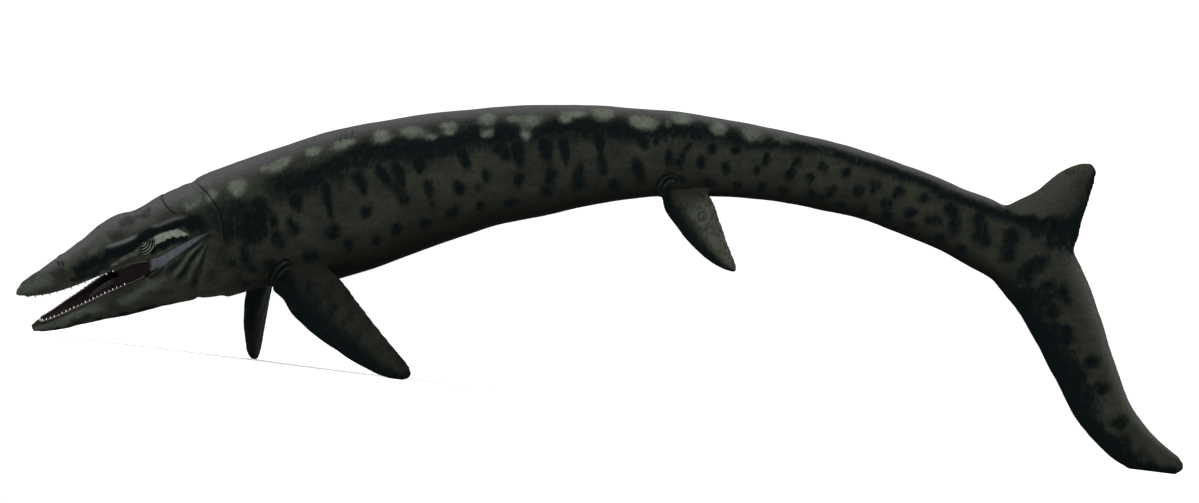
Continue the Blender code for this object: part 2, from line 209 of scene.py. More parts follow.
class Form:
    """A row of cross-sections with a smooth curve through every one of their measures."""

    def __init__(self, stations):
        self.stations = np.array(stations, float)
        self.stations[:, :5] *= MM
        steps = np.linalg.norm(np.diff(self.stations[:, :2], axis=0), axis=1)
        self.marks = np.concatenate([[0], np.cumsum(steps)])
        self.slopes = np.gradient(self.stations, self.marks, axis=0)
        self.length = self.marks[-1]

    def rows(self, distances):
        """The measures at each distance along the form."""
        distances = np.asarray(distances, float)
        i = np.clip(np.searchsorted(self.marks, distances) - 1, 0, len(self.marks) - 2)
        span = self.marks[i + 1] - self.marks[i]
        t = ((distances - self.marks[i]) / span)[..., None]
        span = span[..., None]
        bend = t**3 - t**2
        return (
            self.stations[i]
            + (self.stations[i + 1] - self.stations[i]) * (3 * t**2 - 2 * t**3)
            + span * (bend - t**2 + t) * self.slopes[i]
            + span * bend * self.slopes[i + 1]
        )

    def frames(self, distances):
        """Centre, up and side directions of the section at each distance."""
        distances = np.asarray(distances, float)
        rows = self.rows(distances)
        near = np.clip(distances, SLOPE_STEP, self.length - SLOPE_STEP)
        ahead = unit(self.rows(near + SLOPE_STEP)[..., :2] - self.rows(near - SLOPE_STEP)[..., :2])
        nothing = np.zeros(distances.shape)
        upright = np.stack([-ahead[..., 1], nothing, ahead[..., 0]], -1)
        across = np.array([0.0, 1.0, 0.0])
        roll = np.radians(rows[..., 5])[..., None]
        up = np.cos(roll) * upright - np.sin(roll) * across
        side = np.cos(roll) * across + np.sin(roll) * upright
        centre = np.stack([rows[..., 0], nothing, rows[..., 1]], -1)
        return centre, up, side

    def points(self, distances, angles):
        """Points of the surface. Angle 0 is the animal's right side, and 90 degrees its top."""
        rows = self.rows(distances)
        centre, up, side = self.frames(distances)
        height = np.where(np.sin(angles) >= 0, rows[..., 2], rows[..., 3])
        out = side * (rows[..., 4] * np.cos(angles))[..., None]
        return centre + out + up * (height * np.sin(angles))[..., None]

    def grid(self, rings, sides, start=0.0, end=None):
        """Points in rings round the form, from start to end."""
        end = self.length if end is None else end
        distances = np.linspace(start, end, rings)[:, None] * np.ones((1, sides))
        angles = np.linspace(0, math.tau, sides, endpoint=False)[None, :] * np.ones((rings, 1))
        return self.points(distances, angles)

    def nearest(self, points):
        """How far along the form each point lies."""
        distances = np.linspace(0, self.length, NEAREST_STEPS)
        line = self.rows(distances)[:, :2]
        found = np.empty(len(points))
        for start in range(0, len(points), POINTS_AT_ONCE):
            some = points[start:start + POINTS_AT_ONCE][:, [0, 2]]
            best = ((some[:, None, :] - line[None, :, :]) ** 2).sum(-1).argmin(1)
            low, high = np.maximum(best - 1, 0), np.minimum(best + 1, len(line) - 1)
            ahead = line[high] - line[low]
            share = ((some - line[low]) * ahead).sum(1) / (ahead**2).sum(1)
            span = distances[high] - distances[low]
            found[start:start + POINTS_AT_ONCE] = distances[low] + span * np.clip(share, 0, 1)
        return found


def foil(share):
    """Half thickness of a paddle across its width, 1 where it is thickest."""
    return 4 * (np.sqrt(share) - share) * 0.9 + 0.1


class Paddle:
    """A flipper or tail lobe: thick behind its leading edge, thin at its trailing edge."""

    def __init__(self, stations, root, reach, chord):
        root, reach, chord = (np.array(part, float) for part in (root, reach, chord))
        self.root = root * MM
        self.reach = unit(reach)
        self.chord = unit(chord - self.reach * chord.dot(self.reach))
        self.thick = np.cross(self.reach, self.chord)
        self.form = Form([(row[0], 0, row[1], row[2], row[3], 0) for row in stations])

    def grid(self, rings, sides):
        """Points in rings from the root to the tip."""
        distances = np.linspace(0, self.form.length, rings)
        rows = self.form.rows(distances)[:, None, :]
        turn = (math.tau * (np.arange(sides) + 0.5) / sides)[None, :]
        share = (1 - np.cos(turn)) / 2
        thickness = rows[..., 4] * foil(share) * np.sign(np.sin(turn))
        place = rows[..., 2] + (rows[..., 3] - rows[..., 2]) * share
        return (
            self.root
            + self.reach * (rows[..., 0] * np.ones(turn.shape))[..., None]
            + self.chord * place[..., None]
            + self.thick * thickness[..., None]
        )

    def measures(self, points):
        """Distance from the root in millimetres, and share of the width from the leading edge."""
        away = (points - self.root) @ self.reach
        rows = self.form.rows(np.clip(away - self.form.stations[0, 0], 0, self.form.length))
        along = (points - self.root) @ self.chord
        return away / MM, (along - rows[:, 2]) / np.maximum(rows[:, 3] - rows[:, 2], LEAST_WIDTH)


# Meshes from arrays

def volume(vertices, quads, triangles):
    halves = np.concatenate([triangles, quads[:, [0, 1, 2]], quads[:, [0, 2, 3]]])
    a, b, c = (vertices[halves[:, k]] for k in range(3))
    return np.einsum("ij,ij->", a, np.cross(b, c)) / 6


def closed_grid(points):
    """Vertices, quads and triangles of a solid through the rings of a grid, with a fan at each end."""
    rings, sides = points.shape[:2]
    vertices = np.concatenate([points.reshape(-1, 3), [points[0].mean(0), points[-1].mean(0)]])
    count = rings * sides
    ring = np.arange(rings - 1)[:, None] * sides
    side = np.arange(sides)
    after = (side + 1) % sides
    corners = [ring + side, ring + after, ring + sides + after, ring + sides + side]
    quads = np.stack(corners, -1).reshape(-1, 4)
    last = count - sides
    start_fan = np.stack([np.full(sides, count), after, side], -1)
    end_fan = np.stack([np.full(sides, count + 1), last + side, last + after], -1)
    triangles = np.concatenate([start_fan, end_fan])
    if volume(vertices, quads, triangles) < 0:
        quads, triangles = quads[:, ::-1], triangles[:, ::-1]
    return vertices, quads, triangles


def solids(grids):
    """Vertices and faces of several closed grids together."""
    vertices, faces, start = [], [], 0
    for grid in grids:
        points, quads, triangles = closed_grid(grid)
        vertices.append(points)
        faces += (quads + start).tolist() + (triangles + start).tolist()
        start += len(points)
    return np.concatenate(vertices), faces


def build_mesh(name, vertices, faces):
    mesh = bpy.data.meshes.new(name)
    mesh.from_pydata(vertices.tolist(), [], faces)
    mesh.update()
    return mesh


def mesh_arrays(mesh):
    """The points and the edges of a mesh."""
    points = np.empty(len(mesh.vertices) * 3)
    mesh.vertices.foreach_get("co", points)
    edges = np.empty(len(mesh.edges) * 2, int)
    mesh.edges.foreach_get("vertices", edges)
    return points.reshape(-1, 3), edges.reshape(-1, 2)


def mesh_normals(mesh):
    normals = np.empty(len(mesh.vertices) * 3)
    mesh.vertices.foreach_get("normal", normals)
    return normals.reshape(-1, 3)


def set_points(mesh, points):
    mesh.vertices.foreach_set("co", np.ascontiguousarray(points, float).ravel())
    mesh.update()


def swell(mesh, amount):
    """Moves every point of a mesh out along its normal."""
    set_points(mesh, mesh_arrays(mesh)[0] + mesh_normals(mesh) * amount)


def smoothed(values, edges, rounds, weight=0.5):
    """Values pulled towards the mean of their neighbours, a number of times."""
    count = len(values)
    ends = np.concatenate([edges[:, 0], edges[:, 1]])
    others = np.concatenate([edges[:, 1], edges[:, 0]])
    number = np.maximum(np.bincount(ends, minlength=count), 1)
    flat = values.reshape(count, -1)
    weight = np.broadcast_to(np.asarray(weight, float), (count,))[:, None]
    for _ in range(rounds):
        sums = [np.bincount(ends, flat[others, k], minlength=count) for k in range(flat.shape[1])]
        flat = flat + weight * (np.stack(sums, -1) / number[:, None] - flat)
    return flat.reshape(values.shape)


def link(name, mesh):
    made = bpy.data.objects.new(name, mesh)
    bpy.context.scene.collection.objects.link(made)
    return made


def remeshed(name, grids, voxel, amount, rounds=3):
    """One even skin round overlapping solids, swollen first so that thin edges survive, and shrunk after."""
    rough = link(name + "_rough", build_mesh(name + "_rough", *solids(grids)))
    swell(rough.data, amount)
    modifier = rough.modifiers.new("even", "REMESH")
    modifier.mode = "VOXEL"
    modifier.voxel_size = voxel
    graph = bpy.context.evaluated_depsgraph_get()
    skin = bpy.data.meshes.new_from_object(rough.evaluated_get(graph))
    skin.name = name
    bpy.data.objects.remove(rough)
    points, edges = mesh_arrays(skin)
    set_points(skin, smoothed(points, edges, rounds))
    swell(skin, -amount)
    return skin


def tree_of(points):
    """A tree that finds the nearest of the points."""
    tree = KDTree(len(points))
    for i, place in enumerate(points):
        tree.insert(place, i)
    tree.balance()
    return tree


# Forms and where they stand

body_form = Form(BODY)
jaw_form = Form(LOWER_JAW)
paddles = {name: Paddle(*shape) for name, shape in PADDLES.items()}
EYE_DISTANCE = np.array(body_form.marks[EYE_STATION])
EYES_BETWEEN = body_form.frames(EYE_DISTANCE)[0]


def eye_centre(side):
    """Centre of an eyeball in the drawing. side is -1 for the animal's left."""
    angle = math.pi - EYE_RISE if side < 0 else EYE_RISE
    surface = body_form.points(EYE_DISTANCE, np.array(angle))
    return surface + unit(EYES_BETWEEN - surface) * EYE_INSET


turn = Matrix.Rotation(-STAND_ANGLE, 4, "Y")
eye_low, eye_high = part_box("eye_left")
drawn_eye = turn @ Vector(eye_centre(-1))
stand = Matrix.Translation((Vector(eye_low) + Vector(eye_high)) / 2 - drawn_eye) @ turn
STAND_TURN = np.array(stand)[:3, :3]
STAND_SHIFT = np.array(stand)[:3, 3]


def standing(points):
    """Drawn points where the standing figure has them."""
    return points @ STAND_TURN.T + STAND_SHIFT


def photo_place(points):
    """Where drawn points lie in the photograph, in its pixels."""
    return np.stack([points[:, 0] / PIXEL + ORIGIN_PIXEL[0], ORIGIN_PIXEL[1] - points[:, 2] / PIXEL], -1)


# Numbers over places on the animal

def spline(places, steps=8):
    """A smooth line through places, with a number of steps between each two."""
    places = np.array(places, float)
    padded = np.concatenate([[2 * places[0] - places[1]], places, [2 * places[-1] - places[-2]]])
    t = np.linspace(0, 1, steps, endpoint=False)[:, None]
    pieces = []
    for a, b, c, d in zip(padded, padded[1:], padded[2:], padded[3:]):
        slope = (c - a) / 2
        square = a - 2.5 * b + 2 * c - d / 2
        cube = 1.5 * (b - c) + (d - a) / 2
        pieces.append(b + slope * t + square * t**2 + cube * t**3)
    return np.concatenate([*pieces, places[-1:]])


def stroke(places, line, width, taper=0.15):
    """1 along a smooth line through places of the photograph, fading across its width and at its ends."""
    line = spline(line)
    margin = 3 * width
    near = ((places > line.min(0) - margin) & (places < line.max(0) + margin)).all(1)
    chosen = np.flatnonzero(near)
    some = places[chosen]
    closest = np.full(len(some), np.inf)
    share = np.zeros(len(some))
    for i, (start, end) in enumerate(zip(line, line[1:])):
        ahead = end - start
        t = np.clip((some - start) @ ahead / (ahead @ ahead), 0, 1)
        gap = np.linalg.norm(some - start - t[:, None] * ahead, axis=1)
        nearer = gap < closest
        closest[nearer] = gap[nearer]
        share[nearer] = (i + t[nearer]) / (len(line) - 1)
    result = np.zeros(len(places))
    ends = np.minimum(share, 1 - share)
    result[chosen] = bump(closest, width) * (ramp(ends, 0, taper) if taper else 1)
    return result


def strokes(places, lines, width, taper):
    """The sum of strokes along several lines."""
    return sum(stroke(places, line, width, taper) for line in lines)


def relief(places, rows):
    """The sum of strokes of different heights. Each row gives a height, a width, a taper and a line."""
    return sum(height * stroke(places, line, width, taper) for height, width, taper, line in rows)


def strongest(places, rows, taper):
    """The strongest of several strokes at each place. Each row gives an amount, a width and a line."""
    return np.max([amount * stroke(places, line, width, taper) for amount, width, line in rows], 0)


def band(places, upper, lower, soft):
    """1 between an upper and a lower line of places, fading over a soft edge."""
    x, y = places.T
    upper, lower = np.array(upper, float), np.array(lower, float)
    top = np.interp(x, upper[:, 0], upper[:, 1])
    bottom = np.interp(x, lower[:, 0], lower[:, 1])
    inside = ramp(y, top - soft, top + soft) * ramp(-y, -bottom - soft, -bottom + soft)
    first, last = upper[0, 0], upper[-1, 0]
    return inside * ramp(x, first - soft, first + soft) * ramp(-x, -last - soft, -last + soft)


def wobble(points, size, seed):
    """Smooth uneven values between about -1 and 1, in waves of about the given size."""
    chance = np.random.default_rng(seed)
    total = np.zeros(len(points))
    for _ in range(8):
        direction = unit(chance.normal(size=points.shape[1]))
        wave = math.tau / (size * chance.uniform(0.7, 1.6))
        total += np.sin(points @ direction * wave + chance.uniform(0, math.tau))
    return total / 4


# The sheets of skin across the corners of the mouth: where they start and end, and how far in they lie
WEB_START = 46.0 * MM
WEB_END = 84.0 * MM
WEB_INSET = 1.1 * MM
WEB_BEHIND_GUMS = 1.8 * MM
WEB_PAST_GUMS = (62 * MM, 69 * MM)
WEB_HOLLOW = 5.0 * MM
WEB_THICK = 0.9 * MM
WEB_OVERLAP = 0.12


def mouth_web(angle, rings=30, steps=14):
    """The sheet of skin across one corner of the mouth, a little in from the lips, as a closed grid."""
    down = np.linspace(-WEB_OVERLAP, 1 + WEB_OVERLAP, steps)[None, :]
    share = np.linspace(0, 1, rings)[:, None]
    hollow = WEB_HOLLOW * np.clip(4 * down * (1 - down), 0, 1)
    x = WEB_START + (WEB_END - WEB_START) * share + hollow * (1 - share)
    angles = np.full(x.shape, angle)
    body_distance = np.interp(x, body_form.stations[:, 0], body_form.marks)
    jaw_distance = np.interp(x, jaw_form.stations[:, 0], jaw_form.marks)
    upper = body_form.points(body_distance, angles)
    lower = jaw_form.points(jaw_distance, angles)
    inward = -math.cos(angle) * body_form.frames(body_distance)[2]
    inset = WEB_INSET + WEB_BEHIND_GUMS * (1 - ramp(x, *WEB_PAST_GUMS))
    sheet = upper + (lower - upper) * down[..., None] + inward * inset[..., None]
    return np.concatenate([sheet, (sheet + inward * WEB_THICK)[:, ::-1]], 1)


# Skins

PARTS = ["body", "lower_jaw", *paddles]
FLIPPERS = PARTS[2:6]
BODY_PART, JAW_PART, LOBE_PART = (PARTS.index(name) for name in ("body", "lower_jaw", "upper_lobe"))
webs = [mouth_web(0.0), mouth_web(math.pi)]
source_grids = {"body": body_form.grid(520, 120), "lower_jaw": jaw_form.grid(120, 96)}
source_grids.update({name: paddle.grid(70, 64) for name, paddle in paddles.items()})

# Known points, the part that each is on, and whether it is on the part's upper half. The sheets across the
# corners of the mouth count as upper body.
known = [grid.reshape(-1, 3) for grid in (*source_grids.values(), *webs)]
part_of, upper_half = [], []
for number, grid in enumerate(source_grids.values()):
    rings, sides = grid.shape[:2]
    part_of.append(np.full(rings * sides, number))
    upper_half.append(np.arange(rings * sides) % sides < sides / 2)
for web in webs:
    part_of.append(np.full(web[..., 0].size, BODY_PART))
    upper_half.append(np.full(web[..., 0].size, True))
part_tree = tree_of(np.concatenate(known))
part_of, upper_half = np.concatenate(part_of), np.concatenate(upper_half)


class Skin:
    """The points of a skin, and where each of them lies on the animal."""

    def __init__(self, mesh):
        self.mesh = mesh
        self.points, self.edges = mesh_arrays(mesh)
        self.normals = mesh_normals(mesh)
        found = np.array([part_tree.find(point)[1] for point in self.points])
        self.part = part_of[found]
        self.upper = upper_half[found]
        self.body = self.part == BODY_PART
        self.jaw = self.part == JAW_PART
        self.lobe = self.part == LOBE_PART
        self.flipper = ~(self.body | self.jaw | self.lobe)

        self.distance = body_form.nearest(self.points)
        self.axis_up, self.axis_side, self.out, self.rise, mirrored = self.beside(body_form, self.distance)
        rows = body_form.rows(self.distance)
        height = np.where(self.rise >= 0, rows[:, 2], np.maximum(rows[:, 3], MM))
        self.elevation = np.degrees(np.arcsin(np.clip(self.rise / height, -1, 1)))
        self.girth = (height + rows[:, 4]) / 2

        self.jaw_distance = jaw_form.nearest(self.points)
        self.jaw_out, self.jaw_rise, jaw_mirrored = self.beside(jaw_form, self.jaw_distance)[2:]
        self.jaw_width = jaw_form.rows(self.jaw_distance)[:, 4]
        on_jaw = smoothed(self.jaw.astype(float), self.edges, 10)[:, None]
        self.near = photo_place(mirrored + (jaw_mirrored - mirrored) * on_jaw)

        self.creases = np.zeros(len(self.points))
        self.crease_rims = np.zeros(len(self.points))
        self.ridges = np.zeros(len(self.points))

    def beside(self, form, distance):
        """Up and side directions at a distance along a form, how far out and up each point is from there, and
        the points with those of the animal's right side mirrored to its left."""
        centre, up, side = form.frames(distance)
        away = self.points - centre
        out = (away * side).sum(1)
        return up, side, out, (away * up).sum(1), self.points - 2 * np.maximum(out, 0)[:, None] * side

    def push(self, heights):
        """Moves the points along their normals by heights in millimetres."""
        self.points = self.points + self.normals * (heights * MM)[:, None]


def refine(mesh, centres, radius):
    """Splits the faces close to some points in four."""
    shape = bmesh.new()
    shape.from_mesh(mesh)
    chosen = []
    for edge in shape.edges:
        if any((vertex.co - centre).length < radius for centre in centres for vertex in edge.verts):
            chosen.append(edge)
    bmesh.ops.subdivide_edges(shape, edges=chosen, cuts=1, use_grid_fill=True, smooth=0.0)
    shape.to_mesh(mesh)
    shape.free()


def cut(mesh, point, normal):
    """Leaves only what lies behind a plane."""
    shape = bmesh.new()
    shape.from_mesh(mesh)
    everything = shape.verts[:] + shape.edges[:] + shape.faces[:]
    bmesh.ops.bisect_plane(shape, geom=everything, plane_co=point, plane_no=normal, clear_outer=True)
    shape.to_mesh(mesh)
    shape.free()


# The seam at the neck. The head reaches a little way under the trunk, and sinks a little there.
NECK_X = 106 * MM
TUCK = 0.7 * MM
TUCK_DEPTH = 0.15 * MM
SEAM_HELD = (1.5 * MM, 4 * MM)
SEAM_STILL = (0.5 * MM, 3.5 * MM)
FAR_AWAY = 1.0
HEAD_END = body_form.marks[15]
TRUNK_START = body_form.marks[12]
# The tail's piece starts in front of the hind flippers and takes them with it
TAIL_START = body_form.marks[23]
# How fine each skin is, and how far its solids swell and shrink
HEAD_VOXEL = 0.5 * MM
HEAD_SWELL = 0.25 * MM
TRUNK_VOXEL = 0.85 * MM
TRUNK_SWELL = 0.35 * MM
EYES = [Vector(eye_centre(-1)), Vector(eye_centre(1))]


def from_seam(skin):
    """How far each point is from the neck's seam. Flippers and lobe are far away from it."""
    return np.where(skin.body | skin.jaw, np.abs(skin.points[:, 0] - NECK_X), FAR_AWAY)


def to_seam(skin):
    """Sets the points near the neck's seam on the body's surface, and keeps that surface's normals there."""
    weight = 1 - ramp(from_seam(skin), *SEAM_HELD)
    chosen = np.flatnonzero((weight > 0) & skin.body)
    distance = skin.distance[chosen]
    rows = body_form.rows(distance)
    height = np.where(skin.rise[chosen] >= 0, rows[:, 2], rows[:, 3])
    angle = np.arctan2(skin.rise[chosen] / height, skin.out[chosen] / rows[:, 4])
    surface = body_form.points(distance, angle)
    share = weight[chosen][:, None]
    skin.points[chosen] += (surface - skin.points[chosen]) * share
    step, bend = 0.2 * MM, 0.01
    along = body_form.points(distance + step, angle) - body_form.points(distance - step, angle)
    around = body_form.points(distance, angle + bend) - body_form.points(distance, angle - bend)
    normals = unit(np.cross(around, along))
    facing = np.sign((normals * skin.normals[chosen]).sum(1))[:, None]
    skin.seam = (chosen, normals * facing, share)


# Shape of the head

BROW = [(101, 248), (115.5, 245), (132, 239.5), (141, 234), (148, 229), (161, 226), (176, 220), (191, 216.5)]
BROW_LINE = [(x, y + 2.4) for x, y in BROW]
UNDER_BROW = [(100, 254), (116, 250), (132, 245), (143, 239), (155, 232), (170, 227), (184, 222), (196, 222)]
CHEEK_TOP = [
    (108, 268), (116, 261), (124, 255.5), (134, 251.5), (141, 246),
    (150, 239), (160, 234), (169, 231), (179, 229), (190, 234),
]
CHEEK_BOTTOM = [
    (108, 269), (117, 265), (128, 259), (138, 255.5), (148, 254.5),
    (154, 247), (163, 241), (172, 238), (181, 236), (190, 236),
]
CORNER_TOP = [(150, 261), (162, 256), (179, 246.5), (198, 236.5), (209.5, 232.5)]
CORNER_BOTTOM = [(150, 272), (166, 263.5), (185.5, 250.5), (198, 241.5), (209.5, 233.5)]
LOWER_LIP_BACK = [
    (121, 288), (137, 280.5), (151, 272.5), (166, 264.5),
    (185.5, 251.5), (198, 242.5), (210, 233),
]
UPPER_LIP_BACK = [(132, 264.5), (150, 260), (162, 255), (179, 245.5), (198, 235.5), (210, 232)]
MOUTH_TOP = [(104, 278), (112, 274), (132, 265.5), (150, 261.5)]
MOUTH_BOTTOM = [(104, 293), (112, 290), (121, 286), (137, 279), (150, 271.5)]
NECK_CREASES = [
    [(161, 196), (166, 205), (172, 211), (178, 215)],
    [(193, 180), (206, 191), (214, 201), (221, 214), (224, 230), (226, 249)],
]
NOSTRILS = [[(56.5, 261.5), (59, 263), (60, 266)], [(61.5, 261), (63.5, 263), (64, 266.5)]]
EYE_PLACE = np.array([144.4, 242.8])
WRINKLE_PLACE = np.array([142.0, 241.5])
EAR_PLACE = np.array([202, 221])
FOLD_ROOT = np.array([214, 232])
EYE_OPEN = (1.9, 1.0)
EYE_OPEN_TILT = math.radians(-32)
WRINKLE_STEP = 2.65
FIRST_WRINKLE = 5.3
FOLDS_A_TURN = 24
LID_THICK = 0.32 * MM
LIDS_REACH = 18
SNOUT_DRAWN_OUT = 1.1 * MM
SNOUT_LIFTED = 0.3 * MM
JAW_DRAWN_OUT = 1.2 * MM
JAW_LOWERED = 1.5 * MM

# Relief of the head: height in millimetres, width and taper of a stroke, and its line
HEAD_RELIEF = (
    (0.7, 3.6, 0.15, BROW),
    (-0.75, 5, 0.15, UNDER_BROW),
    (-0.25, 1.4, 0.3, BROW_LINE),
    (0.35, 9, 0.15, [(25, 283), (45, 278), (65, 272), (88, 262), (104, 252)]),
    (-0.35, 7, 0.15, [(70, 277), (90, 269), (108, 260)]),
    (0.5, 9, 0.15, [(150, 213), (175, 203), (196, 196)]),
    (0.3, 2.5, 0.15, [(60, 258), (64, 261), (66, 266)]),
    (0.3, 2.2, 0.15, LOWER_LIP_BACK),
    (0.3, 2.0, 0.15, UPPER_LIP_BACK),
)
THROAT_RELIEF = (
    (0.9, 8, 0, [(172, 303), (196, 300)]),
    (1.2, 6, 0, [(195, 300), (200, 299)]),
    (-0.9, 8, 0, [(222, 296), (232, 294)]),
)


def throat_folds(near, points):
    """The height of the soft folds that fan out from the corner of the jaw, and where they are."""
    away = near - FOLD_ROOT
    reach = np.linalg.norm(away, axis=1)
    direction = np.degrees(np.arctan2(away[:, 1], -away[:, 0]))
    waver = 4.5 * wobble(points, 20 * MM, 5)
    where = ramp(reach, 5, 20) * (1 - ramp(reach, 48, 88))
    where = where * ramp(direction, 26, 42) * (1 - ramp(direction, 68, 94))
    where = where * (0.75 + 0.25 * wobble(points, 15 * MM, 15))
    return np.cos(np.radians((direction + waver) * FOLDS_A_TURN)) * where, where


def eye_places(near):
    """How far each place is from the eye's middle in pixels, and from the middle of the lids' opening, where
    1 is its edge."""
    away = near - EYE_PLACE
    turned_x = away[:, 0] * math.cos(EYE_OPEN_TILT) + away[:, 1] * math.sin(EYE_OPEN_TILT)
    turned_y = away[:, 1] * math.cos(EYE_OPEN_TILT) - away[:, 0] * math.sin(EYE_OPEN_TILT)
    opening = np.sqrt((turned_x / EYE_OPEN[0]) ** 2 + (turned_y / EYE_OPEN[1]) ** 2)
    return np.linalg.norm(away, axis=1), opening


def eyelid_wrinkles(near):
    """Rings round the lower back corner of the eye, high on each ridge, and where they are."""
    away = near - WRINKLE_PLACE
    reach = np.linalg.norm(away, axis=1)
    direction = np.degrees(np.arctan2(away[:, 1], away[:, 0]))
    where = ramp(reach, 3.2, 4.6) * (1 - ramp(reach, 13.5, 15.5)) * bump(direction - 44, 56)
    return np.cos((reach - FIRST_WRINKLE) * math.tau / WRINKLE_STEP) * where, where


def shape_head(head):
    """Raises the brow, cheek, lips and folds, and hollows what lies between them."""
    near = head.near
    heights = relief(near, HEAD_RELIEF)
    heights += 0.5 * band(near, CHEEK_TOP, CHEEK_BOTTOM, 2.5)
    heights += 0.34 * throat_folds(near, head.points)[0]
    heights -= 0.3 * strokes(near, NECK_CREASES, 1.3, 0.3)
    heights += 0.15 * strokes(near + (2.6, -1), NECK_CREASES, 2.2, 0.4)
    heights -= 0.6 * strokes(near, NOSTRILS, 0.9, 0.2)
    ear = np.linalg.norm(near - EAR_PLACE, axis=1)
    heights += 0.2 * bump(ear, 3.5) - 0.3 * bump(ear - 5, 1.2)
    lip_height = np.abs(head.rise) / MM
    upper_lip = head.body * (1 - ramp(near[:, 0], 146, 156)) * (1 - ramp(head.elevation, 18, 40))
    heights += upper_lip * (0.28 * bump(lip_height - 0.9, 0.9) - 0.25 * bump(lip_height - 3.2, 1.0))
    lip_depth = np.abs(head.jaw_rise) / MM
    heights += head.jaw * (0.25 * bump(lip_depth - 0.8, 0.8) - 0.25 * bump(lip_depth - 2.8, 0.9))
    heights -= 0.6 * band(near, CORNER_TOP, CORNER_BOTTOM, 1.0) * ramp(near[:, 0], 168, 184)
    heights += 0.12 * wobble(head.points, 9 * MM, 7) + 0.05 * wobble(head.points, 3.5 * MM, 8)
    heights *= head.outer
    across = np.abs(head.jaw_out) / np.maximum(head.jaw_width, MM)
    ridges = np.cos(across * math.tau * 3.4) * ramp(across, 0.12, 0.2) * (1 - ramp(across, 0.62, 0.74))
    head.ridges = ridges * (1 - head.outer) * head.jaw * (1 - ramp(near[:, 0], 62, 82))
    heights += 0.22 * head.ridges + relief(near, THROAT_RELIEF)
    head.push(heights * head.free)


def shape_tips(head):
    """Draws out the tips of the snout and the lower jaw, and smooths the line under the throat."""
    snout_tip = head.body * bump(np.maximum(head.points[:, 0] - 2 * MM, 0), 5 * MM)
    head.points[:, 0] -= SNOUT_DRAWN_OUT * snout_tip
    head.points[:, 2] += SNOUT_LIFTED * snout_tip * ramp(head.rise, -0.5 * MM, 1.5 * MM)
    jaw_tip = head.jaw * bump(np.maximum(head.points[:, 0] - 10 * MM, 0), 6 * MM)
    head.points[:, 0] -= JAW_DRAWN_OUT * jaw_tip
    head.points[:, 2] -= JAW_LOWERED * jaw_tip * ramp(-head.jaw_rise, -1 * MM, 1.5 * MM)
    under = stroke(head.near, [(184, 300), (199, 298), (212, 295)], 9, 0) * head.free
    head.points = smoothed(head.points, head.edges, 40, 0.6 * under)


def shape_eyelids(head):
    """Lays the lids over the eyeballs, with an opening between them and wrinkles round them."""
    reach, opening = eye_places(head.near)
    wrinkles = eyelid_wrinkles(head.near)[0]
    for eye, side in zip(EYES, (-1, 1)):
        outward = unit(np.array(eye) - EYES_BETWEEN)
        this_side = (np.sign(head.out) == side) & (reach < LIDS_REACH) & head.outer.astype(bool)
        away = head.points - np.array(eye)
        forward = away @ outward
        apart = np.linalg.norm(away - forward[:, None] * outward, axis=1)
        ball_height = np.sqrt(np.maximum((EYE_RADIUS + LID_THICK) ** 2 - apart**2, 0))
        over = np.maximum(ball_height - forward, 0) / MM
        lids = over * (1 - ramp(apart, 2.0 * MM, 2.6 * MM))
        lids = lids - (lids + 0.9) * (1 - ramp(opening, 0.8, 1.15))
        lids += 0.16 * bump(opening - 1.5, 0.3) + 0.2 * wrinkles
        head.points += outward * (np.where(this_side, lids, 0) * MM)[:, None]


# Shape of the trunk, flippers and tail

FRONT_ROOT_CREASES = [
    [(270.5, 287), (272, 275), (278, 265.5), (287, 260), (296, 266)],
    [(275, 286), (277.5, 276), (283, 268.5), (289, 265), (294, 268)],
]
HIND_ROOT_CREASES = [
    [(656, 190), (658.5, 182.5), (664, 176.5), (672, 174.5), (680, 179), (686, 186)],
    [(660.5, 190), (663, 184), (668, 179.5), (674, 179), (680, 184)],
]
FAR_FRONT_SHIFT = (33.0, 4.6)
FRONT_ROOT_EDGE = (282, 289)
HIND_SCAR = np.array([701.6, 216.6])
HIND_SCAR_DOTS = [(720, 231.5), (718, 236), (719.5, 240.6), (722.6, 244), (726, 247)]
BACK_SCRATCHES = [[(342, 135), (340.5, 144)], [(347, 132), (345.5, 140)], [(354, 129.5), (351.5, 138)]]
PALE_SCRATCHES = [
    [(379, 127), (377, 137)],
    [(383, 129), (381, 138)],
    [(667, 119), (666.5, 128)],
    [(670, 120), (669.5, 128)],
]
LOBE_SCRATCHES = [[(1066, 169), (1067.5, 177)], [(1069.5, 168), (1070.5, 177)], [(1073, 168), (1073.5, 175)]]
RIM_SHIFT = (1.6, 1.2)
ROOT_EDGE_FORWARD = 4.5 * MM


def crease_places(skin):
    """The places of the near side, with those of the right front flipper moved to the left one's root."""
    shift = np.where(skin.out > 0, 1.0, 0.0)[:, None] * FAR_FRONT_SHIFT
    return skin.near + shift


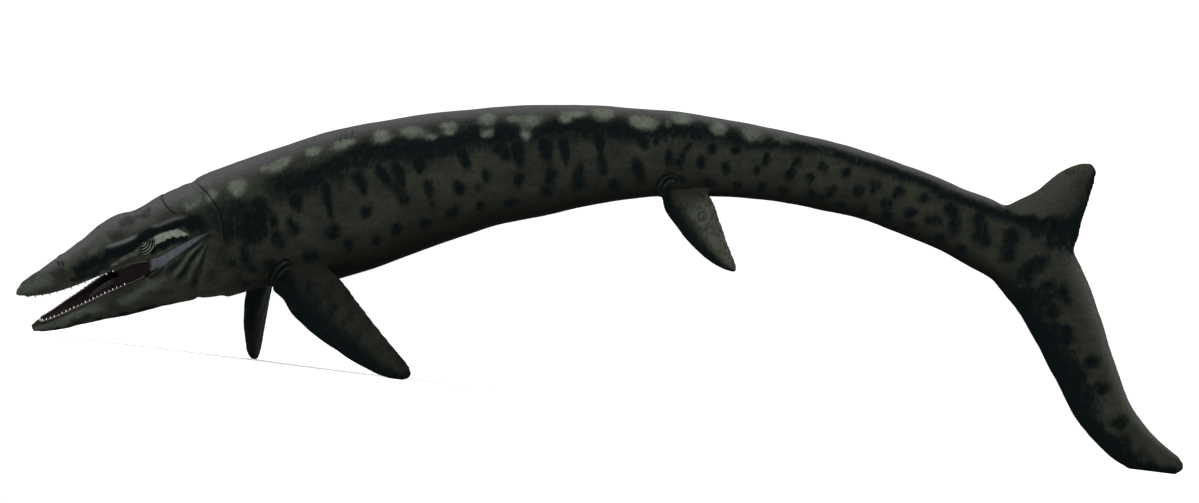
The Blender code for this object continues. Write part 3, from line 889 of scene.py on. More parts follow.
def shape_trunk(trunk):
    """Raises the shoulders and hips, and sinks the creases round the flippers' roots."""
    near_root = crease_places(trunk)
    lower_side = (trunk.body & (trunk.elevation < 20)) | trunk.flipper | trunk.lobe
    # The creases are painted dark as shade and their rims painted light as highlights, besides being sunk and
    # raised
    creases = strokes(near_root, FRONT_ROOT_CREASES, 1.2, 0.12)
    creases = creases + strokes(trunk.near, HIND_ROOT_CREASES, 1.1, 0.12)
    trunk.creases = np.clip(1.6 * creases, 0, 1) * lower_side
    rims = strokes(near_root - RIM_SHIFT, FRONT_ROOT_CREASES, 1.0, 0.2)
    rims = rims + strokes(trunk.near - RIM_SHIFT, HIND_ROOT_CREASES, 1.0, 0.2)
    trunk.crease_rims = 0.10 * np.clip(rims, 0, 1) * lower_side
    shoulder = stroke(near_root, [(283, 281), (292, 274), (315, 276), (330, 282)], 9, 0)
    hip = stroke(trunk.near, [(664, 192), (676, 188), (692, 194)], 7, 0)
    heights = 0.14 * wobble(trunk.points, 16 * MM, 17) + 0.05 * wobble(trunk.points, 6 * MM, 18)
    heights += (0.8 * shoulder + 0.6 * hip) * lower_side * trunk.body
    heights += 2.5 * trunk.crease_rims - 0.5 * trunk.creases
    trunk.push(heights * trunk.free)
    fairing = bump(np.linalg.norm(near_root - FRONT_ROOT_EDGE, axis=1), 8) * lower_side * trunk.free
    fairing = smoothed(fairing, trunk.edges, 4) * trunk.free
    trunk.points[:, 0] -= ROOT_EDGE_FORWARD * fairing


# Markings, with painted shade and painted highlights among them. Each is a smooth value that is a half at the
# marking's edge.

STRIPE_RISE = 32
SPOT_RISE = 52
MARK_STRENGTH = 0.9
BAR_STEPS = 4
BARS_FROM = 128.0
BARS_TO = 330
BARS_TOP = 18
SPOTS_FROM = 98
SPOTS_TO = 505
SIDE_SEEDS = ((-1, 21), (1, 34))


def row_of_marks(start, end, spacing, elevation, size, chance):
    """Marks at nearly even distances along the body, as (distance, elevation, half length, half height)."""
    marks = []
    distance = start + spacing * chance.uniform(0.1, 0.6)
    while distance < end:
        half_long = size * chance.uniform(0.75, 1.2)
        half_tall = size * chance.uniform(0.8, 1.3)
        marks.append((distance, elevation + chance.normal(0, 4), half_long, half_tall))
        distance += spacing * chance.uniform(0.8, 1.25)
    return marks


def marked(skin, marks, side):
    """How strongly marks cover each point of one side."""
    chosen = np.flatnonzero((np.sign(skin.out) == side) & (skin.body | skin.lobe))
    distance = skin.distance[chosen] / MM
    elevation = skin.elevation[chosen]
    girth = skin.girth[chosen] / MM
    clear = np.ones(len(chosen))
    for place, rise, half_long, half_tall in marks:
        close = np.flatnonzero(np.abs(distance - place) < 3 * half_long)
        along = (distance[close] - place) / half_long
        around = np.radians(elevation[close] - rise) * girth[close] / half_tall
        clear[close] *= 1 - MARK_STRENGTH * 0.5 ** (along**2 + around**2)
    covered = np.zeros(len(skin.points))
    covered[chosen] = 1 - clear
    return covered


def cluster(distance, elevation, half_long, half_tall, chance):
    """A mark with an uneven outline, made of a few that overlap."""
    marks = [(distance, elevation, half_long, half_tall)]
    for _ in range(2):
        along = distance + chance.normal(0, 0.55) * half_long
        around = elevation + chance.normal(0, 0.6) * half_tall * 3
        shorter, lower = half_long * chance.uniform(0.4, 0.7), half_tall * chance.uniform(0.4, 0.7)
        marks.append((along, around, shorter, lower))
    return marks


def bar(distance, top, reach, half_long, chance):
    """A bar that hangs from the stripe and narrows downwards, with a slight bend."""
    marks = []
    lean = chance.normal(0.5, 1.2)
    for i in range(BAR_STEPS + 1):
        share = i / BAR_STEPS
        width = half_long * (1 - 0.45 * share) * chance.uniform(0.8, 1.15)
        marks.append((distance + lean * share * 2, top - reach * share, width, reach / 10 + 1.8))
    return marks


# Rows of dark marks: elevation, start and end of the row, spacing, size
MARK_ROWS = (
    (-15, 136, 345, 15.5, 3.3),
    (-38, 142, 345, 15.0, 3.2),
    (10, 325, 470, 13.5, 2.5),
    (-14, 335, 480, 13.0, 2.6),
    (-42, 340, 500, 13.5, 2.8),
    (16, 470, 560, 19.0, 3.6),
    (-12, 480, 565, 14.0, 4.0),
    (14, 575, 625, 17.0, 3.4),
)
# Blotches of the shoulder: distance, elevation, size
SHOULDER_MARKS = (
    (103, 34, 6.5),
    (109, 12, 4.5),
    (103, -12, 4.0),
    (118, 26, 6.0),
    (115, -22, 4.2),
    (122, 2, 4.2),
    (127, -34, 3.4),
    (106, -42, 4.2),
    (130, 18, 4.5),
    (134, -10, 3.2),
)


def side_marks(seed):
    """The dark and the pale marks of one side."""
    chance = np.random.default_rng(seed)
    dark, pale = [], []
    for elevation, start, end, spacing, size in MARK_ROWS:
        for mark in row_of_marks(start, end, spacing, elevation, size, chance):
            dark += cluster(*mark, chance)
    distance = BARS_FROM
    while distance < BARS_TO:
        dark += bar(distance, BARS_TOP, chance.uniform(6, 22), chance.uniform(2.2, 3.4), chance)
        distance += chance.uniform(9, 21)
    for distance, elevation, size in SHOULDER_MARKS:
        dark += cluster(distance, elevation, size, size * 1.3, chance)
    spots = row_of_marks(SPOTS_FROM, SPOTS_TO, 17.0, SPOT_RISE, 4.3, chance)
    for distance, elevation, half_long, half_tall in spots:
        pale += cluster(distance, elevation, half_long * 1.25, half_tall, chance)
    return dark, pale


# Strokes of the head, mostly painted shade and painted highlights: how strong, how wide in pixels, and the
# line
HEAD_SHADES = (
    (1.0, 6.0, UNDER_BROW),
    (0.95, 8.0, [(104, 255), (116, 253), (128, 249), (138, 247)]),
    (0.8, 8.0, [(112, 256), (98, 262), (84, 268), (72, 275)]),
    (0.7, 4.5, [(110, 266), (98, 272), (84, 277), (68, 281)]),
    (0.95, 2.6, [(34, 298), (45, 296.5), (55, 293.5), (70, 289.5), (90, 282), (112, 273)]),
    (1.0, 11.0, [(184, 226), (196, 222), (206, 226), (214, 240)]),
    (0.9, 5.0, [(148, 251), (160, 247), (175, 240), (192, 236)]),
    (0.7, 8.0, [(216, 222), (222, 245), (220, 268), (208, 284)]),
    (0.5, 4.0, [(70, 326), (82, 320), (92, 313)]),
    (0.6, 4.0, [(146, 278), (156, 274), (166, 269)]),
    (0.85, 3.4, [(34, 332), (60, 331), (100, 321.5), (150, 309), (200, 298)]),
    (0.5, 5.0, [(117, 224), (135, 219), (155, 209)]),
    (0.6, 3.0, [(78, 240), (95, 227), (108, 219)]),
)
# Pale patches of the head, mostly painted highlights on the snout, jaw, brow, temple and throat
HEAD_SOFT_HIGHLIGHTS = (
    (0.9, 8, [(4, 296), (18, 291), (34, 284), (46, 280), (60, 276)]),
    (0.75, 3.2, [(70, 287), (86, 280.5), (100, 274.5), (114, 270)]),
    (0.75, 7, [(84, 258), (94, 251), (104, 241), (112, 234)]),
    (0.5, 7, [(115, 236), (135, 229), (150, 222), (168, 214)]),
    (1.0, 8.5, [(180, 211), (192, 205), (202, 199), (208, 195)]),
    (0.75, 3.5, [(152, 259), (166, 252), (178, 246), (190, 239)]),
    (0.9, 7, [(14, 338), (36, 329), (58, 323), (78, 315), (98, 308), (112, 302)]),
    (0.8, 6, [(112, 306), (130, 298), (146, 288), (160, 280)]),
    (0.5, 7, [(60, 270), (75, 262), (90, 252)]),
    (0.7, 5, [(148, 293), (158, 284), (172, 273)]),
    (0.9, 2.6, [(192, 270), (196, 260), (200, 250), (204, 239)]),
    (0.7, 2.2, [(201, 266), (205, 256), (208, 247), (210, 240)]),
    (0.6, 3.5, [(158, 270), (168, 263), (180, 256), (190, 249)]),
)
# Pale lines, mostly painted highlights along the brow's edge
HEAD_LINES = (
    (0.55, 2.0, [(101, 247.5), (115.5, 245), (132, 239.2), (141, 233.8)]),
    (0.3, 1.8, [(148, 228.3), (161, 225.2), (176, 219.2), (191, 215.8)]),
    (0.3, 1.1, [(60, 321), (75, 314), (90, 307)]),
)
# Creases of the head, painted dark as shade: how strong, how wide, how tapered, and the line
HEAD_CREASES = (
    (0.6, 1.1, 0.03, LOWER_LIP_BACK),
    (0.6, 1.0, 0.03, UPPER_LIP_BACK),
    (0.8, 1.3, 0.35, BROW_LINE),
)
TEMPLE = [(180, 211), (190, 207), (199, 201), (206, 195)]

# Looks of the flippers: where across the width the dark leading edge ends, where along the length the dark
# tip starts and ends, the size and strength of the spots, and the strength of the pale trailing edge
FLIPPER_LOOKS = {
    "front": (0.46, (70, 90), 11 * MM, 0.72, 0.0),
    "hind": (0.32, (46, 56), 18 * MM, 0.2, 0.55),
}


def trunk_marks(skin):
    """The dark and the pale marks of the body: blotches, spots and a stripe along each side."""
    s = skin.distance / MM
    tailwards = ramp(s, 320, 420)
    off_stripe = skin.elevation - (STRIPE_RISE + 8 * tailwards) + 6 * wobble(skin.points, 24 * MM, 3)
    stripe = 0.5 ** ((off_stripe / (17 - 4 * tailwards)) ** 2)
    dark = stripe * ramp(s, 118, 145) * (1 - ramp(s, 500, 525)) * skin.body
    pale = np.zeros(len(s))
    for side, seed in SIDE_SEEDS:
        dark_marks, pale_marks = side_marks(seed)
        dark = np.maximum(dark, marked(skin, dark_marks, side))
        pale = np.maximum(pale, marked(skin, pale_marks, side))
    return dark, pale


def tail_marks(skin):
    """The dark and the olive marks of the tail's lobes."""
    s = skin.distance / MM
    on_tail = ramp(s, 505, 540) * skin.body
    ragged_edge = 16 * wobble(skin.points, 17 * MM, 6) + 12 * wobble(skin.points, 7 * MM, 14)
    below_edge = ramp(ragged_edge - skin.elevation, -24, 30) * on_tail
    away, share = paddles["upper_lobe"].measures(skin.points)
    near_lobe = skin.lobe | (skin.body & (s > 495) & (s < 560))
    width = 2.6 + 8.5 * ramp(share, 0.1, 1.0)
    rise = 4.5 + 12 * np.clip(share, 0, 1) ** 1.3 + 1.5 * wobble(skin.points, 9 * MM, 4)
    lobe_band = 0.5 ** (((away - rise) / width) ** 2) * near_lobe
    lobe_band = np.clip(1.3 * lobe_band, 0, 1) * ramp(share, -0.25, 0.1)
    dark = np.maximum(below_edge, lobe_band)
    dark = np.maximum(dark, 0.9 * ramp(share, 0.55, 0.95) * skin.lobe)
    olive = 0.8 * ramp(skin.elevation, 25, 75) * on_tail
    return dark, np.maximum(olive, 0.4 * skin.lobe * (1 - ramp(share, 0.15, 0.7)))


def trunk_side(skin):
    """Below zero where a point faces the animal's left."""
    return (skin.normals * skin.axis_side).sum(1)


def root_area(skin, name):
    """Which points of the body are inside the creases of a flipper's root, and take its colours."""
    front = name.startswith("front")
    if front:
        inside = stroke(crease_places(skin), [(281, 280), (288, 276), (302, 279), (325, 284)], 13, 0)
    else:
        inside = stroke(skin.near, [(670, 188), (684, 192), (700, 198)], 11, 0)
    same_side = np.sign(skin.out) == (-1 if name.endswith("left") else 1)
    return (inside > 0.5) & same_side & skin.body & (skin.elevation < 0)


def flipper_marks(skin, dark, pale):
    """The dark and the pale marks, with those of the flippers put in, and painted shade on each flipper's
    inner face.
    """
    for name in FLIPPERS:
        edge, tip, spot_size, spotted, paleness = FLIPPER_LOOKS[name.split("_")[0]]
        away, share = paddles[name].measures(skin.points)
        chosen = (skin.part == PARTS.index(name)) | root_area(skin, name)
        leading = 1 - ramp(share, edge - 0.22, edge + 0.22)
        spots = 0.55 + 0.6 * wobble(skin.points, spot_size, 40 + PARTS.index(name))
        outward = (skin.normals @ paddles[name].thick) * (1 if name.endswith("left") else -1)
        fin_dark = np.maximum(leading, 0.7 * ramp(away, *tip))
        fin_dark = np.maximum(fin_dark, np.clip(spots, 0, 1) * spotted)
        # Painted shade: each flipper darker on its inner face
        fin_dark = np.maximum(fin_dark, 0.9 * (1 - ramp(outward, -0.3, 0.1)))
        dark = np.where(chosen, fin_dark, dark)
        pale = np.where(chosen, paleness * (1 - leading) * ramp(away, -1, 14), pale)
    return dark, pale


def head_marks(skin, on_head):
    """The painted shade, and the soft and the strong painted highlights of the head, with some dark markings
    and pale patches among them.
    """
    near = skin.near
    x, y = near.T
    drift = [1.6 * wobble(skin.points, 7 * MM, 12), 1.6 * wobble(skin.points, 6 * MM, 13)]
    rough = near + np.stack(drift, -1)
    folds, fold_area = throat_folds(near, skin.points)
    # Painted shade under the brow, round the ear and between the throat folds, with some dark markings among
    # it
    shade = strongest(rough, HEAD_SHADES, 0.12)
    shade = np.maximum(shade, (0.42 - 0.42 * folds) * ramp(fold_area, 0.0, 0.9))
    # Pale patches, mostly painted highlights, with painted highlights on the tops of the throat folds
    soft_highlight = np.maximum(strongest(rough, HEAD_SOFT_HIGHLIGHTS, 0.25), (0.5 + 0.5 * folds) * fold_area)
    # A strong painted highlight on the raised cheek band under the eye, and on the temple
    jagged = near + np.stack([np.zeros(len(x)), 1.5 * wobble(skin.points, 3.4 * MM, 9)], -1)
    under_top = ramp(y - np.interp(x, *np.transpose(CHEEK_TOP)), -2.0, 2.0)
    cheek = band(jagged, [(a, b - 12) for a, b in CHEEK_TOP], CHEEK_BOTTOM, 1.2) * under_top
    bright_highlight = 0.8 * cheek * on_head * (0.5 + 0.5 * ramp(x, 128, 160))
    bright_highlight = np.maximum(bright_highlight, 0.34 * stroke(rough, TEMPLE, 4.5, 0.25))
    # Strong painted highlights on the tops of the eyelid wrinkles, with painted shade between them
    wrinkles, where = eyelid_wrinkles(near)
    bright_highlight = bright_highlight * (1 - 0.95 * ramp(where, 0.1, 0.6)) + 0.9 * ramp(wrinkles, 0.2, 0.85) * on_head
    return {
        "shade": np.maximum(shade, 0.9 * ramp(where, 0.2, 0.7)) * on_head,
        "soft_highlight": soft_highlight * on_head * (1 - 0.8 * shade),
        "bright_highlight": bright_highlight,
    }


def scratches(skin, ways, width):
    """Short scratches on the left side of the trunk and tail."""
    seen = (skin.out < 0) & (skin.distance > 120 * MM)
    return strongest(skin.near, [(1, width, way) for way in ways], 0.2) * seen


def fine_marks(skin, on_head):
    """The thin pale lines, mostly painted highlights with some pale scratches and a pale ring round a scar,
    and the dark lines, mostly painted shade in creases with some dark scratches and scar marks.
    """
    near = skin.near
    ring = np.linalg.norm(near - HIND_SCAR, axis=1)
    on_left_hind = (skin.part == PARTS.index("hind_flipper_left")) & (trunk_side(skin) < 0)
    line = strongest(near, HEAD_LINES, 0.3) * on_head
    # Painted highlights beside the neck creases and along the rims of the flippers' root creases
    line = np.maximum(line, 0.05 * strokes(near + (1.8, -0.6), NECK_CREASES, 0.9, 0.25))
    line = np.maximum(line, skin.crease_rims)
    line = np.maximum(line, 0.3 * scratches(skin, PALE_SCRATCHES, 0.9))
    line = np.maximum(line, 0.16 * bump(ring - 6, 1.0) * on_left_hind)

    ear = np.linalg.norm(near - EAR_PLACE, axis=1)
    # Painted shade in the nostrils, the lip and brow creases, the ear's groove and the lids' opening
    crease = strokes(near, NOSTRILS, 0.9, 0.1) + relief(near, HEAD_CREASES)
    crease = crease + 0.5 * bump(ear - 5, 0.9) + 0.9 * (1 - ramp(eye_places(near)[1], 1.0, 1.7))
    crease = np.clip(crease, 0, 1) * on_head + skin.creases
    crease = crease + strokes(near, NECK_CREASES, 0.9, 0.15)
    crease = np.maximum(crease, 0.7 * scratches(skin, BACK_SCRATCHES + LOBE_SCRATCHES, 0.8))
    crease = np.maximum(crease, 0.55 * bump(ring - 4.6, 0.9) * on_left_hind)
    for dot in HIND_SCAR_DOTS:
        crease = np.maximum(crease, 0.8 * bump(np.linalg.norm(near - dot, axis=1), 1.0) * on_left_hind)
    return line, np.clip(crease, 0, 1)


def mouth_marks(skin, on_head):
    """The corner of the mouth, and the lining, with its front and gums painted lighter against their shade,
    and its ridges.
    """
    x, y = skin.near.T
    lining = smoothed(1 - skin.outer, skin.edges, 2)
    behind = ramp(x + 0.02 * (y - 266) ** 2, 151, 153.5)
    above, below = [(a, b - 2.5) for a, b in CORNER_TOP], [(a, b + 1) for a, b in CORNER_BOTTOM]
    around = band(skin.near, above, below, 0.6) * ramp(lining, 0.35, 0.65)
    inside = band(skin.near, CORNER_TOP, CORNER_BOTTOM, 0.9) * on_head
    return {
        "corner": np.maximum(inside, around) * behind,
        "lining": lining * (1 - behind),
        # The front of the lining and its gums, painted lighter against their shade
        "gums": lining * (1 - ramp(x, 104, 120)),
        "ridges": skin.ridges,
    }


def paint(skin):
    """The smooth values of the markings, of the painted shade and of the painted highlights at every point,
    by name.
    """
    s = skin.distance / MM
    on_head = (1 - ramp(s, 92, 110)) * skin.outer
    front_flippers = np.isin(skin.part, [i for i, name in enumerate(PARTS) if name.startswith("front")])
    # Painted shade, darker towards the belly; the front flippers are darkened with the same colour
    belly_shade = ramp(-skin.elevation, 8, 70) * skin.body * ramp(s, 90, 130)
    dark, pale = trunk_marks(skin)
    tail_dark, olive = tail_marks(skin)
    dark, pale = flipper_marks(skin, np.maximum(dark, tail_dark), pale)
    line, crease = fine_marks(skin, on_head)
    return {
        # A painted sheen: lighter along the top of the body and head
        "back": ramp(skin.elevation, 38, 80) * skin.body * ramp(s, 0, 20),
        "belly_shade": np.maximum(belly_shade, 0.45 * front_flippers),
        "olive": olive,
        "dark": dark * ramp(s, 92, 112),
        "pale": pale * (1 - on_head) * np.where(skin.flipper, 1, 1 - 0.8 * ramp(s, 330, 450)),
        "line": line,
        "crease": crease,
        **head_marks(skin, on_head),
        **mouth_marks(skin, on_head),
    }


# Making the skins

FINE_ROUND_EYES = (6 * MM, 5 * MM)
PALATE_END = body_form.marks[10] + 3 * MM
TIP_SKIN = 3 * MM
JAW_TIP_SKIN = 2 * MM
ROOT_REACH = 40 * MM
ROOT_CORNER = 3.5 * MM
ROOT_ROUNDS = 30
EVENING_ROUNDS = 12
EVENING_PULL = 0.5
EVENING_PUSH = 0.52
OFF_FLOOR = (2 * MM, 6 * MM)


def begin_skin(mesh):
    """Measures a skin, and marks which of its points are outside the mouth and free of the neck's seam."""
    skin = Skin(mesh)
    to_seam(skin)
    facing_up = (skin.normals * skin.axis_up).sum(1)
    palate = skin.body & ~skin.upper & (skin.distance < PALATE_END)
    palate &= (skin.distance > TIP_SKIN) | (facing_up < -0.5)
    floor_of_mouth = skin.jaw & skin.upper
    floor_of_mouth &= (skin.jaw_distance > JAW_TIP_SKIN) | (facing_up > 0.5)
    open_mouth = band(skin.near, MOUTH_TOP, MOUTH_BOTTOM, 0.3) > 0.5
    skin.outer = 1 - (palate | floor_of_mouth | open_mouth).astype(float)
    skin.free = ramp(from_seam(skin), *SEAM_STILL)
    return skin


def soften_roots(skin):
    """Rounds the corner where each flipper or lobe leaves the body."""
    body_tree = tree_of(source_grids["body"].reshape(-1, 3))
    corner = np.zeros(len(skin.points))
    for name, paddle in paddles.items():
        tree = tree_of(source_grids[name].reshape(-1, 3))
        close = np.flatnonzero(np.linalg.norm(skin.points - paddle.root, axis=1) < ROOT_REACH)
        to_paddle = np.array([tree.find(skin.points[i])[2] for i in close])
        to_body = np.array([body_tree.find(skin.points[i])[2] for i in close])
        corner[close] = np.maximum(corner[close], bump(np.hypot(to_paddle, to_body), ROOT_CORNER))
    skin.points = smoothed(skin.points, skin.edges, ROOT_ROUNDS, 0.6 * corner)


def even_fins(skin):
    """Takes the small steps out of the fins' edges. Each pull inwards is made up by a push outwards."""
    chosen = (skin.flipper | skin.lobe) * ramp(standing(skin.points)[:, 2], *OFF_FLOOR)
    for _ in range(EVENING_ROUNDS):
        for amount in (EVENING_PULL, -EVENING_PUSH):
            skin.points = smoothed(skin.points, skin.edges, 1, amount * chosen)
    set_points(skin.mesh, skin.points)
    skin.normals = mesh_normals(skin.mesh)


def finish_skin(skin, pieces):
    """Makes the pieces of a skin by name, each from the faces whose first point is chosen for it."""
    skin.points = smoothed(skin.points, skin.edges, 1, 0.3 * skin.free)
    set_points(skin.mesh, skin.points)
    normals = mesh_normals(skin.mesh)
    chosen, seam_normals, share = skin.seam
    normals[chosen] = unit(normals[chosen] + (seam_normals - normals[chosen]) * share)
    fields = paint(skin)
    placed = standing(skin.points)
    placed[:, 2] = np.maximum(placed[:, 2], 0)
    normals = normals @ STAND_TURN.T
    faces = [tuple(face.vertices) for face in skin.mesh.polygons]
    first = np.array([face[0] for face in faces])
    made = {}
    for name, chosen in pieces.items():
        some = [faces[i] for i in np.flatnonzero(chosen[first])]
        used = np.unique(np.concatenate([np.array(face) for face in some]))
        number = np.zeros(len(placed), int)
        number[used] = np.arange(len(used))
        mesh = build_mesh(name, placed[used], [tuple(number[list(face)]) for face in some])
        mesh.shade_smooth()
        mesh.normals_split_custom_set_from_vertices(normals[used].tolist())
        for field, values in fields.items():
            attribute = mesh.attributes.new(field, "FLOAT", "POINT")
            attribute.data.foreach_set("value", np.ascontiguousarray(values[used], np.float32))
        made[name] = link(name, mesh)
    return made


head_grids = [body_form.grid(260, 160, end=HEAD_END), jaw_form.grid(160, 128), *webs]
head_mesh = remeshed("head", head_grids, HEAD_VOXEL, HEAD_SWELL, 2)
cut(head_mesh, (NECK_X + TUCK, 0, 0), (1, 0, 0))
for radius in FINE_ROUND_EYES:
    refine(head_mesh, EYES, radius)
head = begin_skin(head_mesh)
shape_head(head)
shape_tips(head)
shape_eyelids(head)
tucked = ramp(head.points[:, 0], NECK_X, NECK_X + TUCK) * ~head.jaw
head.points -= head.normals * (TUCK_DEPTH * tucked)[:, None]
head_pieces = finish_skin(head, {"head_skin": ~head.jaw, "jaw_skin": head.jaw})

trunk_grids = [body_form.grid(420, 140, start=TRUNK_START)]
trunk_grids += [paddle.grid(90, 72) for paddle in paddles.values()]
trunk_mesh = remeshed("trunk", trunk_grids, TRUNK_VOXEL, TRUNK_SWELL)
cut(trunk_mesh, (NECK_X, 0, 0), (-1, 0, 0))
trunk = begin_skin(trunk_mesh)
soften_roots(trunk)
even_fins(trunk)
shape_trunk(trunk)
on_tail = trunk.distance > TAIL_START
trunk_pieces = finish_skin(trunk, {"trunk_skin": ~on_tail, "tail_skin": on_tail})


# Materials

class Paint:
    """Builds a material's nodes a line at a time."""

    def __init__(self, name):
        self.material = bpy.data.materials.new(name)
        self.material.use_nodes = True
        self.tree = self.material.node_tree
        self.shader = self.tree.nodes["Principled BSDF"]
        self.place = self.tree.nodes.new("ShaderNodeTexCoord").outputs["Object"]

    def put(self, value, socket):
        """Links an output to a socket, or sets the socket to a number or colour."""
        if isinstance(value, bpy.types.NodeSocket):
            self.tree.links.new(value, socket)
        elif socket.type == "RGBA":
            socket.default_value = (*value, 1.0)
        else:
            socket.default_value = value

    def value(self, name):
        node = self.tree.nodes.new("ShaderNodeAttribute")
        node.attribute_name = name
        return node.outputs["Fac"]

    def noise(self, size, detail=3.0, roughness=0.5, stretch=None):
        place = self.place
        if stretch:
            mapping = self.tree.nodes.new("ShaderNodeMapping")
            mapping.inputs["Scale"].default_value = stretch
            self.tree.links.new(place, mapping.inputs["Vector"])
            place = mapping.outputs["Vector"]
        node = self.tree.nodes.new("ShaderNodeTexNoise")
        self.tree.links.new(place, node.inputs["Vector"])
        node.inputs["Scale"].default_value = 1 / size
        node.inputs["Detail"].default_value = detail
        node.inputs["Roughness"].default_value = roughness
        return node.outputs["Fac"]

    def math(self, operation, first, second=0.0, third=0.0):
        node = self.tree.nodes.new("ShaderNodeMath")
        node.operation = operation
        for socket, value in zip(node.inputs, (first, second, third)):
            self.put(value, socket)
        return node.outputs["Value"]

    def fade(self, value, start, end, low=0.0, high=1.0):
        node = self.tree.nodes.new("ShaderNodeMapRange")
        node.interpolation_type = "SMOOTHSTEP"
        for socket, setting in zip(node.inputs, (value, start, end, low, high)):
            self.put(setting, socket)
        return node.outputs["Result"]

    def mix(self, factor, first, second):
        node = self.tree.nodes.new("ShaderNodeMix")
        node.data_type = "RGBA"
        colours = [socket for socket in node.inputs if socket.type == "RGBA"]
        self.put(factor, node.inputs["Factor"])
        self.put(first, colours[0])
        self.put(second, colours[1])
        return [socket for socket in node.outputs if socket.type == "RGBA"][0]

    def bumped(self, height, strength, distance):
        node = self.tree.nodes.new("ShaderNodeBump")
        node.inputs["Strength"].default_value = strength
        node.inputs["Distance"].default_value = distance
        self.tree.links.new(height, node.inputs["Height"])
        self.tree.links.new(node.outputs["Normal"], self.shader.inputs["Normal"])

    def shifted(self, value, noise, amount):
        """A value moved up and down by noise."""
        return self.math("MULTIPLY_ADD", self.math("SUBTRACT", noise, 0.5), amount, value)

    def mottled(self, noise, first, second):
        """Two colours mixed by noise."""
        return self.mix(self.fade(noise, 0.35, 0.7), first, second)

    def finished(self, colour, roughness, sheen):
        """The material, with its shader's colour, roughness and sheen set."""
        self.put(colour, self.shader.inputs["Base Color"])
        self.put(roughness, self.shader.inputs["Roughness"])
        self.shader.inputs["Specular IOR Level"].default_value = sheen
        return self.material


BASE = (0.0165, 0.0175, 0.0135)
BACK_SHEEN = (0.055, 0.053, 0.056)
BELLY_SHADE_AND_STREAK = (0.0034, 0.0036, 0.0029)
DARK_MARK_AND_SHADE = (0.0026, 0.0043, 0.0045)
PALE = (0.068, 0.078, 0.062)
SOFT_HIGHLIGHT = (0.040, 0.048, 0.037)
BRIGHT_HIGHLIGHT = (0.135, 0.150, 0.122)
PALE_LINE_AND_HIGHLIGHT = (0.12, 0.13, 0.125)
OLIVE = (0.044, 0.046, 0.038)
CORNER = (0.056, 0.062, 0.070)
LINING = (0.0085, 0.0060, 0.0070)
FRONT_GUMS_LIT = (0.0220, 0.0155, 0.0185)
RIDGE = (0.045, 0.043, 0.046)
CREASE_SHADE_AND_SCRATCH = (0.003, 0.004, 0.004)


def skin_material():
    paint = Paint("painted_skin")
    blotchy = paint.noise(6 * MM, 6, 0.68)
    broad = paint.noise(26 * MM, 3, 0.5)
    fine = paint.noise(1.5 * MM, 4, 0.6)
    streaks = paint.noise(5 * MM, 4, 0.6, (0.45, 1.0, 1.0))
    feather = paint.noise(2.0 * MM, 5, 0.75, (1.0, 1.0, 0.4))
    uneven = paint.noise(3.6 * MM, 6, 0.75)
    ragged = paint.math("MULTIPLY_ADD", uneven, 0.5, paint.math("MULTIPLY", feather, 0.5))
    colour = paint.mix(paint.fade(broad, 0.35, 0.68), BASE, tuple(1.25 * c for c in BASE))
    # Darker random streaks, in the colour of the painted belly shade
    colour = paint.mix(paint.fade(streaks, 0.3, 0.75, 0.0, 0.45), colour, BELLY_SHADE_AND_STREAK)

    # Each layer's marking, the noise that breaks its edge and by how much, the limits of its fade, its colour
    layers = (
        # Painted shade under the body
        ("belly_shade", None, 0, (), BELLY_SHADE_AND_STREAK),
        # A painted sheen along the top
        ("back", streaks, 0.5, (0.0, 1.1), BACK_SHEEN),
        ("olive", None, 0, (), OLIVE),
        ("dark", ragged, 2.0, (0.15, 1.05), DARK_MARK_AND_SHADE),
        ("pale", ragged, 1.6, (0.25, 1.15), PALE),
        # Pale patches, mostly painted highlights
        ("soft_highlight", blotchy, 0.45, (0.05, 1.1), SOFT_HIGHLIGHT),
        # Painted shade on the head
        ("shade", ragged, 0.6, (0.08, 0.85), DARK_MARK_AND_SHADE),
        # Strong painted highlights
        ("bright_highlight", fine, 0.4, (0.15, 1.0), BRIGHT_HIGHLIGHT),
        ("corner", None, 0, (), CORNER),
        # Pale lines, mostly painted highlights, with pale scratches
        ("line", None, 0, (), PALE_LINE_AND_HIGHLIGHT),
        ("lining", None, 0, (0.35, 0.65), LINING),
        # The front of the lining and its gums, painted lighter against their shade
        ("gums", None, 0, (0.35, 0.8), FRONT_GUMS_LIT),
        ("ridges", None, 0, (0.2, 1.0, 0.0, 0.8), RIDGE),
        # Dark lines, mostly painted shade in creases, with dark scratches and scar marks
        ("crease", None, 0, (), CREASE_SHADE_AND_SCRATCH),
    )
    for name, noise, amount, limits, layer_colour in layers:
        share = paint.value(name)
        if noise is not None:
            share = paint.shifted(share, noise, amount)
        if limits:
            share = paint.fade(share, *limits)
        colour = paint.mix(share, colour, layer_colour)

    graded = paint.tree.nodes.new("ShaderNodeVectorMath")
    graded.operation = "SCALE"
    paint.put(colour, graded.inputs[0])
    paint.put(paint.fade(fine, 0.3, 0.75, 0.85, 1.14), graded.inputs["Scale"])
    wet = paint.math("MULTIPLY", paint.value("lining"), -0.16)
    roughness = paint.math("ADD", paint.fade(streaks, 0.3, 0.7, 0.44, 0.56), wet)
    height = paint.math("MULTIPLY_ADD", fine, 0.35, paint.noise(0.7 * MM, 2, 0.5))
    paint.bumped(height, 0.25, 0.12 * MM)
    return paint.finished(graded.outputs["Vector"], roughness, 0.0005)


SKIN_MATERIAL = skin_material()
for name, piece in {**head_pieces, **trunk_pieces}.items():
    piece.data.materials.append(SKIN_MATERIAL)
    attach(piece, "root")
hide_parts("lower_jaw")
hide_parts("body")
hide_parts("body", *PARTS[2:4])
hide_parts("body", *PARTS[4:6])


# Teeth and gums

